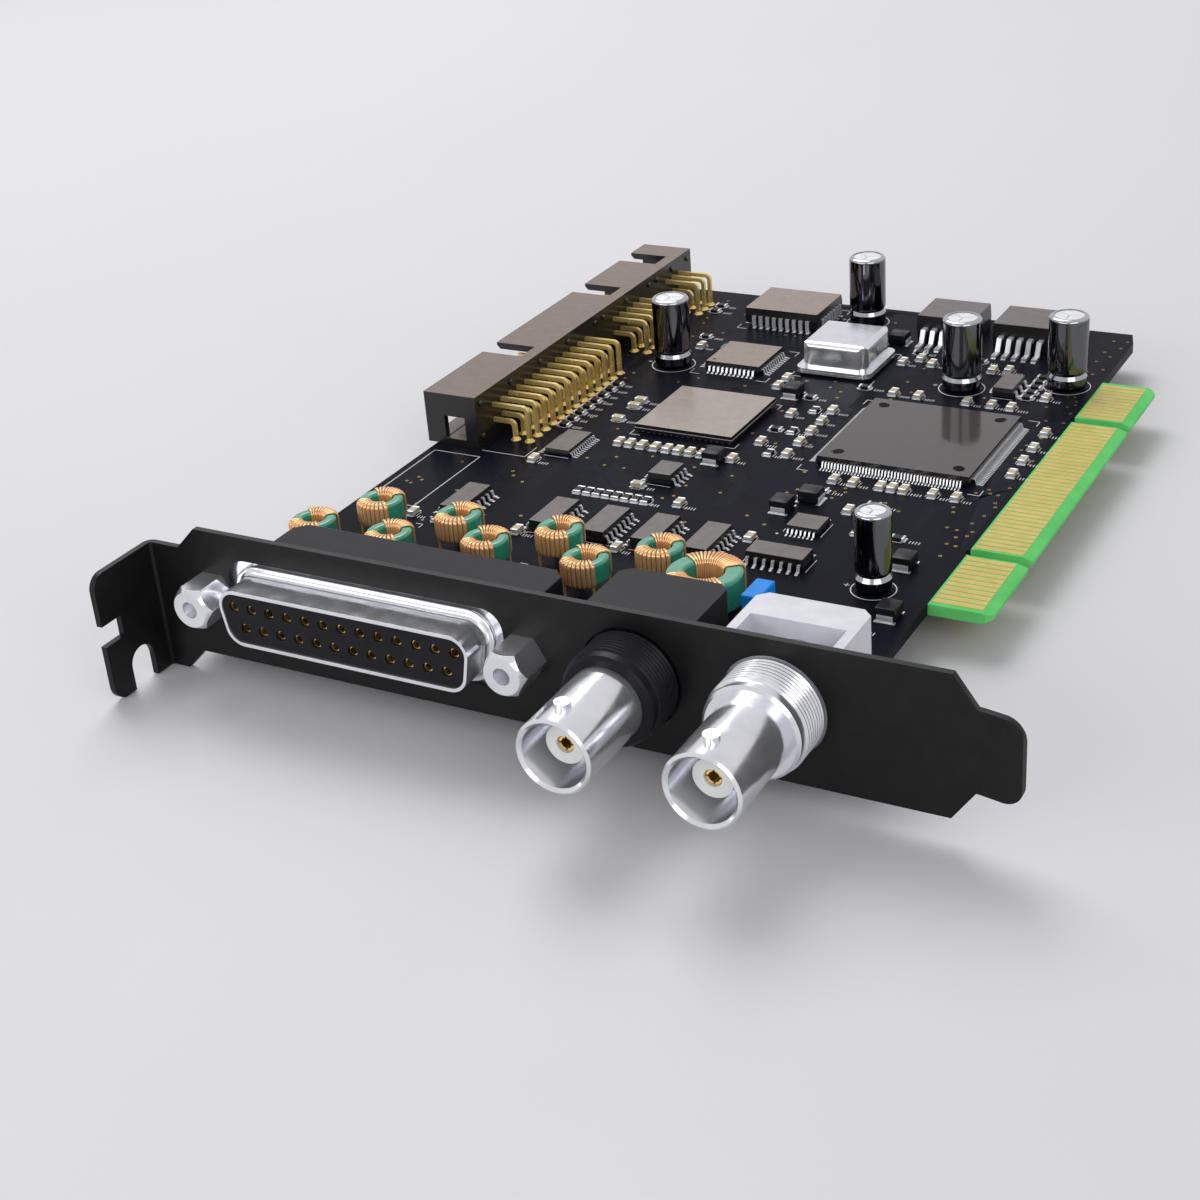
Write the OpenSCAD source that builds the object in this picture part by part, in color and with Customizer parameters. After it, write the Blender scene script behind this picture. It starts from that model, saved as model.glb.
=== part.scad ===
// Full-height PCI sound card with a 25-way D-sub socket and two BNC sockets.
// Millimetres. The origin is on the seat face of the bracket's tab, level with the fixing
// screw in depth and halfway across the tab. +X runs along the bracket from its tab to its
// tongue, +Y into the computer and +Z up from the component side of the board.
// The modules work in card coordinates: x from the seat face, y from the bracket's outer
// face and z from the board's component side.

/* [Slot bracket] */
// Overall length, from the tab's outer face to the end of the tongue
bracket_len = 120.02; // [118.5:0.01:123]
// Width of the main plate
bracket_w = 18.42; // [17.6:0.01:21]
// Thickness of the steel sheet
sheet_t = 0.86; // [0.6:0.01:1.2]
// Depth of the tab, from the outer face of the plate
tab_depth = 11.43; // [10.8:0.01:13]
// Sideways step of the tab towards the solder side
tab_step = 3.17; // [2.2:0.01:4]
// Width of the fixing-screw slot
screw_slot_w = 4.42; // [3.6:0.01:5]
// Distance from the screw slot's centre to the plate's outer face
slot_to_face = 5.35; // [4.8:0.01:6]
// Height of the plate's upper edge above the board
edge_above_board = 15.6; // [14.2:0.1:17]
// Width of the tongue
tongue_w = 10.6; // [8:0.1:12]
// Length of the tongue beyond the shoulders
tongue_len = 5.6; // [4.5:0.1:8]

/* [Circuit board] */
// Thickness of the laminate
board_t = 1.57; // [1:0.01:2]
// Distance from the seat face to the board's upper edge
board_start = 1.9; // [1:0.1:4]
// Distance from the seat face to the shoulder of the edge connector
board_shoulder = 92.85; // [92:0.05:96]
// Distance from the bracket's outer face to the board's far edge
board_depth = 143.6; // [143.4:0.1:160]
// Length of the edge connector beyond the shoulder
edge_len = 8.65; // [7.5:0.05:10]
// Distance from the bracket's outer face to the first key slot
first_key = 57.15; // [56:0.05:58]
// Distance between the two key slots
key_spacing = 48.26; // [48.26:1.27:50.8]
// Width of a key slot
key_w = 1.9; // [1.6:0.05:2.2]
// Pitch of the edge contacts
contact_pitch = 1.27; // [1.2:0.01:1.3]
// Width of an edge contact
contact_w = 1.02; // [0.7:0.01:1.1]
// Number of contacts outside each key slot
outer_contacts = 11; // [9:1:11]

/* [D-sub socket] */
// Distance from the seat face to the socket's centre
dsub_x = 33.4; // [33:0.1:34.2]
// Height of the socket's centre above the board
dsub_z = 6.74; // [6.4:0.01:7.1]
// Width of the shell
shell_w = 38.38; // [37.9:0.01:38.8]
// Height of the shell
shell_h = 7.9; // [7.6:0.01:8.3]
// Distance of the shell's front from the bracket's outer face
shell_front = 5; // [4.4:0.1:6]
// Pitch of the contacts in a row
dsub_pitch = 2.77; // [2.7:0.01:2.8]
// Distance between the two rows
dsub_rows = 2.84; // [2.6:0.01:3]
// Distance between the two jack screws
jack_spacing = 47.04; // [46.6:0.01:47.6]
// Size of a jack screw across its flats
jack_af = 5.5; // [4.5:0.01:5.6]
// Length of a jack screw's hexagon
jack_len = 5.4; // [4:0.1:6.5]
// Width of the rear housing
rear_w = 41.8; // [40.8:0.1:42.2]
// Distance from the bracket's outer face to the back of the rear housing
rear_depth = 16; // [14.5:0.1:17]
// Height of the rear housing
rear_h = 10; // [9.4:0.1:11.5]

/* [BNC sockets] */
// Distances from the seat face to the input's and the output's centre
bnc_x = [71.4, 89.6];
// Outer diameter of the barrel
barrel_d = 9.56; // [9.4:0.01:9.8]
// Inner diameter of the barrel's mouth
mouth_d = 8.1; // [7.9:0.01:8.4]
// Distance of the rim from the bracket's outer face
rim_front = 18.7; // [17:0.1:21]
// Outer diameter of the threaded bushing
bushing_d = 12.7; // [12.4:0.01:12.9]
// Distance of the bushing's front from the bracket's outer face
bushing_front = 6.2; // [5:0.1:10]
// Pitch of the bushing's thread ridges
ridge_pitch = 0.6; // [0.5:0.01:1.1]
// Diameter of the insulator
insulator_d = 4.9; // [4.6:0.01:5.2]
// Width of a socket's housing
bnc_w = 14.4; // [13.6:0.1:15.2]
// Height of a socket's housing
bnc_h = 13.9; // [13.4:0.1:14.4]
// Distance from the bracket's outer face to the back of a housing
bnc_depth = 13.1; // [12.4:0.1:14.5]

/* [Box headers] */
// Pitch of the pins
pin_pitch = 2.54; // [2.5:0.01:2.56]
// Side of a square pin
pin_w = 0.64; // [0.5:0.01:0.7]
// Columns of pins in each header, nearest the bracket first
header_columns = [13, 5, 3];
// Distance from the bracket's outer face to the first header
header_start = 65.4; // [65:0.1:65.8]
// Length that a header adds to its pin columns
header_ends = 7.62; // [7.2:0.01:7.7]
// Height of a header housing
header_h = 8.5; // [8.2:0.1:9.4]
// Depth of a header housing, from mouth to back
header_depth = 9.5; // [8.9:0.1:9.6]
// Distance that the mouths stand out past the board's upper edge
header_overhang = 1.7; // [1.6:0.1:3.4]
// Wall of a header housing
header_wall = 1.1; // [0.8:0.05:1.3]
// Width of the polarising notch
notch_w = 4.5; // [4.2:0.1:5]

/* [Transformers] */
// Outer diameter of a small core
core_d = 6.5; // [6:0.1:7]
// Inner diameter of a small core
core_bore = 3.3; // [3:0.1:3.6]
// Height of a small core
core_h = 3.2; // [2.6:0.1:3.8]
// Height of a small core's underside above the board
core_lift = 2.3; // [1.6:0.1:3]
// Width of a winding's strand
strand_w = 0.28; // [0.26:0.01:0.36]
// Outer diameter of the large core
big_core_d = 10.2; // [9.4:0.1:10.4]
// Inner diameter of the large core
big_core_bore = 5.2; // [4.9:0.1:5.6]
// Height of the large core
big_core_h = 4.4; // [3.8:0.1:5]

/* [Capacitors] */
// Diameter of a large capacitor over its sleeve
cap_d = 6.3; // [5.6:0.1:6.6]
// Height of a large capacitor's top above the board
cap_h = 12; // [9:0.1:14]
// Diameter of the small capacitor over its sleeve
small_cap_d = 5; // [4.4:0.1:5.4]
// Thickness of the shrink sleeve
sleeve_t = 0.12; // [0.08:0.01:0.2]

/* [Chips] */
// Side of the ball-grid chip
grid_side = 17; // [16:0.1:17.4]
// Side of the bus chip's body
bus_side = 24; // [23:0.1:24.4]
// Side of the logic chip's body
logic_side = 10; // [9.4:0.1:10.4]
// Length of a line driver's body
driver_len = 8.65; // [8.4:0.01:9]
// Width of a line driver's body
driver_w = 3.9; // [3.7:0.01:4.1]
// Width of a power regulator
regulator_w = 10.2; // [9.8:0.1:10.6]
// Depth of a power regulator's body
regulator_d = 9.2; // [8.6:0.1:9.4]
// Height of a power regulator
regulator_h = 4.5; // [4.2:0.1:4.8]
// Side of the oscillator's base
oscillator_side = 13.2; // [12.6:0.1:13.6]
// Height of the oscillator
oscillator_h = 5.6; // [4.6:0.1:6.2]

/* [Small parts] */
// Length of a chip capacitor or chip resistor
chip_l = 2; // [1.6:0.05:2.1]
// Width of a chip capacitor or chip resistor
chip_w = 1.2; // [0.8:0.05:1.25]
// Height of a chip capacitor
chip_cap_h = 0.8; // [0.6:0.05:1.2]
// Height of a chip resistor
chip_res_h = 0.5; // [0.35:0.05:0.6]
// Length of the jumper cap
jumper_l = 5; // [4.8:0.05:5.4]
// Width of the jumper cap
jumper_w = 2.5; // [2.3:0.05:2.7]
// Height of the jumper cap
jumper_h = 6; // [5:0.1:6.4]

/* [Hidden] */
$fn = 48;
// Overlap that makes a cut run clear of a face
eps = 0.5;
// Sliding clearance between pieces that fit into each other
fit = 0.03;

// Bracket
fold_r = 0.5;
plate_low = edge_above_board - bracket_w;
tab_low = plate_low - tab_step;
tab_top = edge_above_board - tab_step;
slot_from_edge = 3.26;
slot_z = tab_low + slot_from_edge;
tab_mid = (tab_low + tab_top) / 2;
bracket_end = bracket_len - sheet_t;
tongue_angle = 12;
tongue_bend_r = 3;
neck_x = bracket_end - tongue_len;
tongue_mid = edge_above_board - bracket_w / 2;
tongue_corner = 2.5;
shoulder_len = 2.8;
jog_top = 4.7;
jog_low = 2.9;
jog_len = 3.2;
side_notch_w = 3;
side_notch_depth = 3.6;
side_notch_z = tab_low + 9.84;
tab_corner = 2.2;
window_w = shell_w + 3.2;
window_h = shell_h + 3.1;
window_r = 3;
screw_hole_r = 1.65;
bushing_gap = 0.3;

// Board and edge connector
board_front = sheet_t + 0.5;
edge_tip = board_shoulder + edge_len;
key_depth = edge_len + 0.4;
bevel_len = 1.45;
bevel_h = 0.5;
first_contact = 1.5 * contact_pitch;
edge_margin = 1.4;
edge_near = first_key - first_contact - (outer_contacts - 1) * contact_pitch - edge_margin;
second_key = first_key + key_spacing;
edge_far = second_key + first_contact + (outer_contacts - 1) * contact_pitch + edge_margin;
middle_contacts = floor((key_spacing - 2 * first_contact) / contact_pitch + 0.01) + 1;
foil_t = 0.05;
contact_start = 0.35;
contact_len = edge_len - bevel_len - contact_start;

// D-sub
sheet_d = 0.5;
shell_r = 2.6;
flange_ear = 3;
flange_w = jack_spacing + 2 * flange_ear;
flange_h = 12.5;
plate_t = 1;
shell_back = sheet_t + sheet_d;
plate_back = shell_back + plate_t;
block_w = shell_w - 2 * sheet_d - 2 * fit;
block_h = shell_h - 2 * sheet_d - 2 * fit;
block_recess = 0.26;
socket_r = 0.62;
socket_gap = 0.1;
base_step = 2.2;
base_r = 0.9;
tail_w = 0.6;
tail_gap = 0.1;
tail_near = 9.8;
tail_far = 12.64;
rear_wall = 1;
rear_front_t = 2;
comb_h = 1.2;
rear_chamfer = 1.6;
foot_l = 8;
foot_t = 0.8;
stud_r = 1.36;
jack_hole_r = 1.15;
jack_hole_depth = 4.2;
jack_stud_len = 4.4;

// BNC
bnc_z = dsub_z;
mouth_depth = 9;
barrel_back = 10;
barrel_r = barrel_d / 2;
lug_r = 1;
lug_reach = 5.5;
lug_from_rim = 3.3;
insulator_recess = 3.05;
contact_r = 1.08;
contact_bore = 0.68;
contact_recess = 0.3;
contact_back = 9;
ridge_depth = 0.3;
ridge_count = floor((bushing_front - 1.2) / ridge_pitch);
bnc_chamfer = 1.2;
pocket_w = 11.9;
pocket_depth = 6;
pocket_back = 7.7;

// Headers
header_base = header_depth - 7.3;
header_back = board_start - header_overhang + header_depth;
header_mouth = board_start - header_overhang;
mouth_bevel = 0.6;
window_in = 3.4;
window_len = 3.8;
window_low = 1;
window_top = 4.8;
row_low = header_h / 2 - pin_pitch / 2;
row_top = header_h / 2 + pin_pitch / 2;
foot_inner = header_back + 3.7;
foot_outer = foot_inner + pin_pitch;
pin_bend = 0.5;
pin_tip = header_mouth + 2.3;
pad_r = 0.85;
pad_h = 0.45;
pip_r = 0.45;
pip_h = 0.35;
pip_inset = 1.5;
function header_len(n) = n * pin_pitch + header_ends;
function header_y(i) = header_start + (i == 0 ? 0 : header_len(header_columns[i - 1])
    + header_y(i - 1) - header_start);

// Transformers. The turns lie beside each other, just clear, where they pass through the bore,
// and fan out from there.
turn_gap = 0.05;
function turn_angle(bore) = 2 * asin((strand_w + turn_gap) / 2 / (bore / 2 - fit - strand_w));
// Centres on the board
toroids = [[6.9, 25.7], [19.6, 26], [33.6, 28.9], [49.5, 28.5],
    [12.4, 34.7], [25.9, 34.3], [41.7, 35.3], [57.4, 35]];
turns = 9;
turn_step = turn_angle(core_bore);
core_round = 0.5;
lead_r = 0.2;
lead_in = 0.45;
big_toroid = [67.6, 27.8];
big_base = 11.4;
big_base_t = 1.6;
big_gap = 0.9;
big_lift = big_base_t + big_gap;
big_turns = 16;
big_turn_step = turn_angle(big_core_bore);

// Capacitors: centre of each, then its diameter and its height
capacitors = [[22.9, 107.5, cap_d, cap_h], [46.8, 136.4, cap_d, cap_h],
    [72.5, 112.3, cap_d, cap_h], [88, 118.2, cap_d, cap_h], [84.9, 42.5, small_cap_d, cap_h - 0.4]];
cap_lift = 0.3;
cap_round = 0.6;
cap_neck_z = 2.3;
cap_neck = 0.35;
cap_lead_r = 0.3;
cap_lead_pitch = 2.5;
bung_t = 1.4;

// Chips: centres on the board
grid_at = [38.8, 87.4];
bus_at = [74.2, 88.7];
logic_at = [34.2, 111.9];
memory_at = [33.8, 133.8];
drivers = [[19, 46.5], [34.2, 46.5], [42.6, 46.5], [50.6, 46.5], [58.7, 46.5]];
cross_driver = [69.9, 45.8];
buffer_at = [22.9, 70.8];
short_buffer_at = [69.5, 56.6];
amplifier_at = [42.9, 65.1];
small_regulator_at = [79.9, 113.6];
regulators = [[63.1, 135.2], [76.5, 135.2]];
oscillator_at = [51, 116.1];
jumper_at = [77.4, 23];
memory_size = [13.9, 11.4];
memory_h = 3.5;
memory_pitch = 1.27;
buffer_w = 4.4;
buffer_lens = [7.8, 5];
amplifier_len = 4.9;
small_regulator_size = [6.5, 3.5];
small_regulator_h = 1.65;
can_round = 0.9;
oscillator_base_h = 0.9;

// Small parts: centres, then 1 where the long side runs along Y
cap_rows = [
    for (x = [30, 31.9, 34, 36.3, 38.4, 40.3, 42.3, 44.4, 49.4]) [x, 74.4, 1],
    for (x = [66.9, 70, 74.2, 76, 77.8, 82.2, 85.7]) [x, 72.4, 1],
    for (x = [63.1, 67.3, 75.4, 79.4, 82.6]) [x, 106.6, 1],
    for (y = [82.7, 87.7, 92.7, 98.5]) [90.6, y, 1],
    for (y = [78.7, 83.5, 88, 92.2, 96.7]) [56.6, y, 1],
    for (y = [81.7, 93.4]) [50.9, y, 1],
    for (y = [82.7, 88.2, 90.7]) [25.4, y, 0],
    for (x = [12.9, 30.8, 47, 62.5]) [x, 41.4, 1],
    for (y = [103.6, 107.2]) [44.1, y, 1],
    [20.2, 64.4, 1], [40.2, 61, 0], [48.9, 57.4, 1], [23.9, 116.4, 1], [59.7, 119.7, 1],
    [62, 122.1, 1], [64.6, 120.4, 1], [74.9, 120.6, 1], [77.4, 121.4, 1], [86.6, 111.9, 1],
    [86.2, 31.5, 0], [81, 50, 1], [63.3, 50.6, 1], [72.9, 63.4, 1]];
resistor_rows = [
    for (i = [0:7]) [18, 78 + 2.6 * i, 0],
    for (i = [0:7]) [32.6 + 1.6 * i, 56.6, 1],
    for (i = [0:4]) [83.6, 111.4 + 2.2 * i, 0],
    for (y = [78.3, 87.2, 96]) [53.8, y, 1],
    for (y = [87.1, 100.8]) [51, y, 0],
    for (y = [133.4, 136.2]) [18.4, y, 0],
    for (x = [17.6, 36, 53.6]) [x, 40.8, 1],
    [22.6, 121, 0], [60.8, 124.8, 0], [71.8, 124, 0], [76.6, 57.4, 1], [57.8, 107.5, 0],
    [75.6, 66.4, 0], [66.6, 68.6, 0], [82.6, 57.5, 0]];
moulded_at = [[66.3, 65.2, 0], [63.6, 61, 1], [47.9, 101, 1], [46.9, 73.2, 1], [55.7, 128.4, 0],
    [89.5, 36.2, 1], [86.3, 50.2, 1]];
moulded_l = 3.5;
moulded_w = 2.8;
moulded_h = 1.9;
end_wrap = 0.4;

// Solder side
joint_h = 1.1;
joint_r = 0.75;
joint_tip = 0.32;
bnc_pins = [[-5, 4], [-5, 11], [0, 7], [2, 11]];

// Moves a piece from card coordinates to the part's own frame
module on_card() {
    translate([0, slot_to_face, -tab_mid]) children();
}

// Stands an outline drawn in X and Z upright, between two distances behind the bracket's face
module upright(y0, y1) {
    translate([0, y1, 0]) rotate([90, 0, 0]) linear_extrude(y1 - y0) children();
}

// Extrudes an outline drawn in Y and Z along X
module across(x0, x1) {
    translate([x0, 0, 0]) rotate([90, 0, 90]) linear_extrude(x1 - x0) children();
}

// Turned piece, drawn as radius and distance in front of the bracket's outer face
module turned() {
    rotate([90, 0, 0]) rotate_extrude() children();
}

// Outline with round corners, from the centres of the corner circles, anticlockwise
module rounded(centres, r) {
    n = len(centres);
    polygon([for (i = [0:n - 1])
        let (a = centres[i], b = centres[(i + 1) % n], d = b - a, u = [d[1], -d[0]] / norm(d) * r)
        each [a + u, b + u]]);
    for (c = centres) translate(c) circle(r);
}

module rounded_rect(w, h, r) {
    x = w / 2 - r;
    y = h / 2 - r;
    rounded([[-x, -y], [x, -y], [x, y], [-x, y]], r);
}

// D-shaped outline with sides that lean in by 10 degrees towards the narrow row
module d_outline(w, h, r) {
    lean = 10;
    steps = 8;
    top = w / 2 - r * tan(lean) - r / cos(lean);
    low = w / 2 - (h - r) * tan(lean) - r / cos(lean);
    y = h / 2 - r;
    corners = [[low, -y, -90, -lean], [top, y, -lean, 90], [-top, y, 90, 180 + lean],
        [-low, -y, 180 + lean, 270]];
    polygon([for (c = corners, i = [0:steps]) let (a = c[2] + (c[3] - c[2]) * i / steps)
        [c[0] + r * cos(a), c[1] + r * sin(a)]]);
}

// Places a child at each D-sub contact
module each_dsub_contact() {
    for (i = [0:12]) translate([(i - 6) * dsub_pitch, 0, dsub_rows / 2]) children();
    for (i = [0:11]) translate([(i - 5.5) * dsub_pitch, 0, -dsub_rows / 2]) children();
}

module at_dsub() {
    translate([dsub_x, 0, dsub_z]) children();
}

// Block given by its low and high corners
module block(low, high) {
    translate(low) cube(high - low);
}

module plate_outline() {
    tongue_low = tongue_mid - tongue_w / 2;
    tongue_top = tongue_mid + tongue_w / 2;
    polygon([[fold_r, tab_low], [jog_low, tab_low], [jog_low + jog_len, plate_low],
        [neck_x - shoulder_len, plate_low], [neck_x, tongue_low], [neck_x, tongue_top],
        [neck_x - shoulder_len, edge_above_board], [jog_top + jog_len, edge_above_board],
        [jog_top, tab_top], [fold_r, tab_top]]);
}

module tongue_outline(l) {
    r = tongue_corner;
    h = tongue_w / 2;
    translate([0, -h]) square([l - r, tongue_w]);
    translate([0, -h + r]) square([l, tongue_w - 2 * r]);
    for (s = [-1, 1]) translate([l - r, s * (h - r)]) circle(r);
}

// Side view of the tongue: a short flat start, a bend in small steps and a flat end
module tongue_side() {
    steps = 4;
    pivot = tongue_bend_r + sheet_t;
    flat_len = (bracket_end - neck_x - pivot * sin(tongue_angle)) / cos(tongue_angle);
    function arc(r, a) = [r * sin(a), r * cos(a) - tongue_bend_r];
    function end(r) = arc(r, tongue_angle) + flat_len * [cos(tongue_angle), -sin(tongue_angle)];
    polygon([[-eps, 0], for (i = [0:steps]) arc(tongue_bend_r, i * tongue_angle / steps),
        end(tongue_bend_r), end(pivot),
        for (i = [steps:-1:0]) arc(pivot, i * tongue_angle / steps), [-eps, sheet_t]]);
}

module tongue() {
    reach = bracket_end - neck_x;
    translate([neck_x, 0, tongue_mid]) intersection() {
        translate([0, 0, -tongue_w]) linear_extrude(2 * tongue_w) tongue_side();
        translate([-2 * eps, 0, 0]) upright(-tongue_len, 2 * sheet_t) tongue_outline(reach + 2 * eps);
    }
}

module tab_outline() {
    r = tab_corner;
    difference() {
        union() {
            translate([-tab_depth + r, tab_low]) square([tab_depth - r - fold_r, tab_top - tab_low]);
            translate([-tab_depth, tab_low + r]) square([tab_depth - fold_r, tab_top - tab_low - 2 * r]);
            for (z = [tab_low + r, tab_top - r]) translate([-tab_depth + r, z]) circle(r);
        }
        translate([-tab_depth - eps, side_notch_z - side_notch_w / 2])
            square([side_notch_depth + eps, side_notch_w]);
        translate([-slot_to_face, slot_z]) circle(screw_slot_w / 2);
        translate([-slot_to_face - screw_slot_w / 2, tab_low - eps])
            square([screw_slot_w, slot_z - tab_low + eps]);
    }
}

module slot_bracket() {
    color("#1b1b1c") on_card() {
        difference() {
            upright(0, sheet_t) plate_outline();
            at_dsub() upright(-eps, sheet_t + eps) rounded_rect(window_w, window_h, window_r);
            at_dsub() for (s = [-1, 1]) translate([s * jack_spacing / 2, sheet_t + eps, 0])
                rotate([90, 0, 0]) cylinder(h = sheet_t + 2 * eps, r = screw_hole_r);
            for (x = bnc_x) translate([x, sheet_t + eps, bnc_z])
                rotate([90, 0, 0]) cylinder(h = sheet_t + 2 * eps, r = bushing_d / 2 + bushing_gap);
        }
        translate([fold_r, -fold_r, tab_low]) rotate([0, 0, 90]) rotate_extrude(angle = 90)
            translate([fold_r, 0]) square([sheet_t, tab_top - tab_low]);
        across(-sheet_t, 0) tab_outline();
        tongue();
    }
}

module board_outline() {
    corner = [1.2, 4];
    notch = 0.9;
    difference() {
        union() {
            polygon([[board_start, board_front], [board_shoulder, board_front],
                [board_shoulder, board_depth - corner[1]],
                [board_shoulder - corner[0], board_depth], [board_start, board_depth]]);
            polygon([[board_shoulder - eps, edge_near], [edge_tip - notch, edge_near],
                [edge_tip, edge_near + notch], [edge_tip, edge_far - notch],
                [edge_tip - notch, edge_far], [board_shoulder - eps, edge_far]]);
        }
        for (y = [first_key, second_key]) {
            translate([edge_tip - key_depth + key_w / 2, y]) circle(key_w / 2);
            translate([edge_tip - key_depth + key_w / 2, y - key_w / 2]) square([key_depth, key_w]);
        }
    }
}

module circuit_board() {
    color("#15161d") on_card() difference() {
        translate([0, 0, -board_t]) linear_extrude(board_t) board_outline();
        for (side = [0, 1]) translate([0, 0, -side * board_t]) mirror([0, 0, side])
            upright(edge_near - eps, edge_far + eps)
                polygon([[edge_tip - bevel_len, 0], [edge_tip + eps, -bevel_h * (1 + eps / bevel_len)],
                    [edge_tip + eps, eps], [edge_tip - bevel_len, eps]]);
    }
}

module contact_strip() {
    for (i = [0:outer_contacts - 1]) {
        translate([0, first_key - first_contact - i * contact_pitch, 0]) children();
        translate([0, second_key + first_contact + i * contact_pitch, 0]) children();
    }
    for (i = [0:middle_contacts - 1])
        translate([0, first_key + first_contact + i * contact_pitch, 0]) children();
}

module edge_contacts() {
    color("#d9b64e") on_card() for (z = [0, -board_t - foil_t])
        contact_strip() translate([board_shoulder + contact_start, -contact_w / 2, z])
            cube([contact_len, contact_w, foil_t]);
}

module dsub_shell() {
    color("#c9ccd0") on_card() at_dsub() difference() {
        union() {
            upright(-shell_front, shell_back) d_outline(shell_w, shell_h, shell_r);
            upright(fit, shell_back) d_outline(shell_w + base_step, shell_h + base_step, shell_r + base_r);
            upright(sheet_t, shell_back) rounded_rect(flange_w, flange_h, 1.2);
        }
        upright(-shell_front - eps, shell_back + eps)
            d_outline(shell_w - 2 * sheet_d, shell_h - 2 * sheet_d, shell_r - sheet_d);
        for (s = [-1, 1]) translate([s * jack_spacing / 2, shell_back + eps, 0])
            rotate([90, 0, 0]) cylinder(h = sheet_d + 2 * eps, r = screw_hole_r);
    }
}

module dsub_socket_block() {
    color("#24262a") on_card() at_dsub() difference() {
        upright(-shell_front + block_recess, plate_back)
            d_outline(block_w, block_h, shell_r - sheet_d - fit);
        each_dsub_contact() rotate([90, 0, 0]) translate([0, 0, -plate_back - eps])
            cylinder(h = plate_back + shell_front + 2 * eps, r = socket_r + socket_gap);
    }
}

// One socket with its tail, bent down to the board
module dsub_contact(tail_y) {
    front = shell_front - block_recess - 0.35;
    z = dsub_z + (tail_y == tail_far ? 1 : -1) * dsub_rows / 2;
    difference() {
        translate([0, sheet_t, 0]) rotate([90, 0, 0]) cylinder(h = sheet_t + front, r = socket_r);
        translate([0, -1, 0]) rotate([90, 0, 0]) cylinder(h = front, r = socket_r - 0.14);
    }
    h = tail_w / 2;
    block([-h, sheet_t, -h], [h, tail_y + h, h]);
    block([-h, tail_y - h, -z], [h, tail_y + h, h]);
}

module dsub_contacts() {
    color("#c79a3a") on_card() at_dsub() {
        for (i = [0:12]) translate([(i - 6) * dsub_pitch, 0, dsub_rows / 2]) dsub_contact(tail_far);
        for (i = [0:11]) translate([(i - 5.5) * dsub_pitch, 0, -dsub_rows / 2]) dsub_contact(tail_near);
    }
}

module dsub_rear_housing() {
    hole = tail_w + 2 * tail_gap;
    half = rear_w / 2;
    in = half - rear_wall;
    inner = plate_back + rear_front_t;
    color("#222226") on_card() translate([dsub_x, 0, 0]) difference() {
        linear_extrude(rear_h) polygon([[-half, plate_back], [half, plate_back],
            [half, rear_depth - rear_chamfer], [half - rear_chamfer, rear_depth],
            [-half + rear_chamfer, rear_depth], [-half, rear_depth - rear_chamfer]]);
        block([-in, inner, comb_h], [in, rear_depth + eps, rear_h - rear_wall]);
        block([-in, tail_far + 1.4, -eps], [in, rear_depth + eps, comb_h + eps]);
        translate([0, 0, dsub_z]) each_dsub_contact()
            block([-hole / 2, plate_back - eps, -hole / 2], [hole / 2, inner + eps, hole / 2]);
        for (i = [0:12]) translate([(i - 6) * dsub_pitch - hole / 2, tail_far - hole / 2, -eps])
            cube([hole, hole, comb_h + 2 * eps]);
        for (i = [0:11]) translate([(i - 5.5) * dsub_pitch - hole / 2, tail_near - hole / 2, -eps])
            cube([hole, hole, comb_h + 2 * eps]);
    }
}

module dsub_mounting_plate() {
    foot_w = (flange_w - rear_w) / 2 - 0.3;
    color("#b9bcc0") on_card() translate([dsub_x, 0, 0]) {
        difference() {
            block([-flange_w / 2, shell_back, 0], [flange_w / 2, plate_back, dsub_z + flange_h / 2]);
            translate([0, 0, dsub_z]) upright(shell_back - eps, plate_back + eps)
                d_outline(block_w + 2 * fit, block_h + 2 * fit, shell_r - sheet_d);
            for (s = [-1, 1]) translate([s * jack_spacing / 2, plate_back + eps, dsub_z])
                rotate([90, 0, 0]) cylinder(h = plate_t + 2 * eps, r = stud_r + fit);
        }
        for (s = [-1, 1]) translate([s * (flange_w - foot_w) / 2, 0, 0])
            block([-foot_w / 2, plate_back - eps, 0], [foot_w / 2, plate_back + foot_l, foot_t]);
    }
}

module jack_screw() {
    corner_r = jack_af / 2 / cos(30);
    rotate([90, 0, 0]) difference() {
        union() {
            intersection() {
                cylinder(h = jack_len, r = corner_r, $fn = 6);
                rotate_extrude() polygon([[0, 0], [corner_r, 0], [corner_r, jack_len - 0.9],
                    [jack_af / 2 - 0.25, jack_len], [0, jack_len]]);
            }
            translate([0, 0, -jack_stud_len]) cylinder(h = jack_stud_len + eps, r = stud_r);
        }
        translate([0, 0, jack_len - jack_hole_depth]) cylinder(h = jack_hole_depth + eps, r = jack_hole_r);
    }
}

module jack_screws() {
    color("#c9ccd0") on_card() at_dsub()
        for (s = [-1, 1]) translate([s * jack_spacing / 2, 0, 0]) jack_screw();
}

module at_bnc(i) {
    translate([bnc_x[i], 0, bnc_z]) children();
}

// Threaded bushing, as rings of one pitch, from the bracket's inner face to its chamfered front
module bushing(back) {
    crest = bushing_d / 2;
    root = crest - ridge_depth;
    ridges = [for (i = [0:ridge_count - 1]) let (y = i * ridge_pitch)
        each [[crest, y + 0.25 * ridge_pitch], [crest, y + 0.45 * ridge_pitch],
            [root, y + 0.85 * ridge_pitch]]];
    turned() polygon([[0, -back], [root, -back], [root, 0], each ridges,
        [root, bushing_front - 0.4], [root - 0.4, bushing_front], [0, bushing_front]]);
}

module barrel_bore() {
    turned() translate([0, -barrel_back]) square([barrel_r + fit, barrel_back + bushing_front + eps]);
}

module bnc_box() {
    half = bnc_w / 2;
    c = bnc_chamfer;
    translate([0, 0, -bnc_z]) linear_extrude(bnc_h) polygon([[-half, sheet_t], [half, sheet_t],
        [half, bnc_depth - c], [half - c, bnc_depth], [-half + c, bnc_depth], [-half, bnc_depth - c]]);
}

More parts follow.
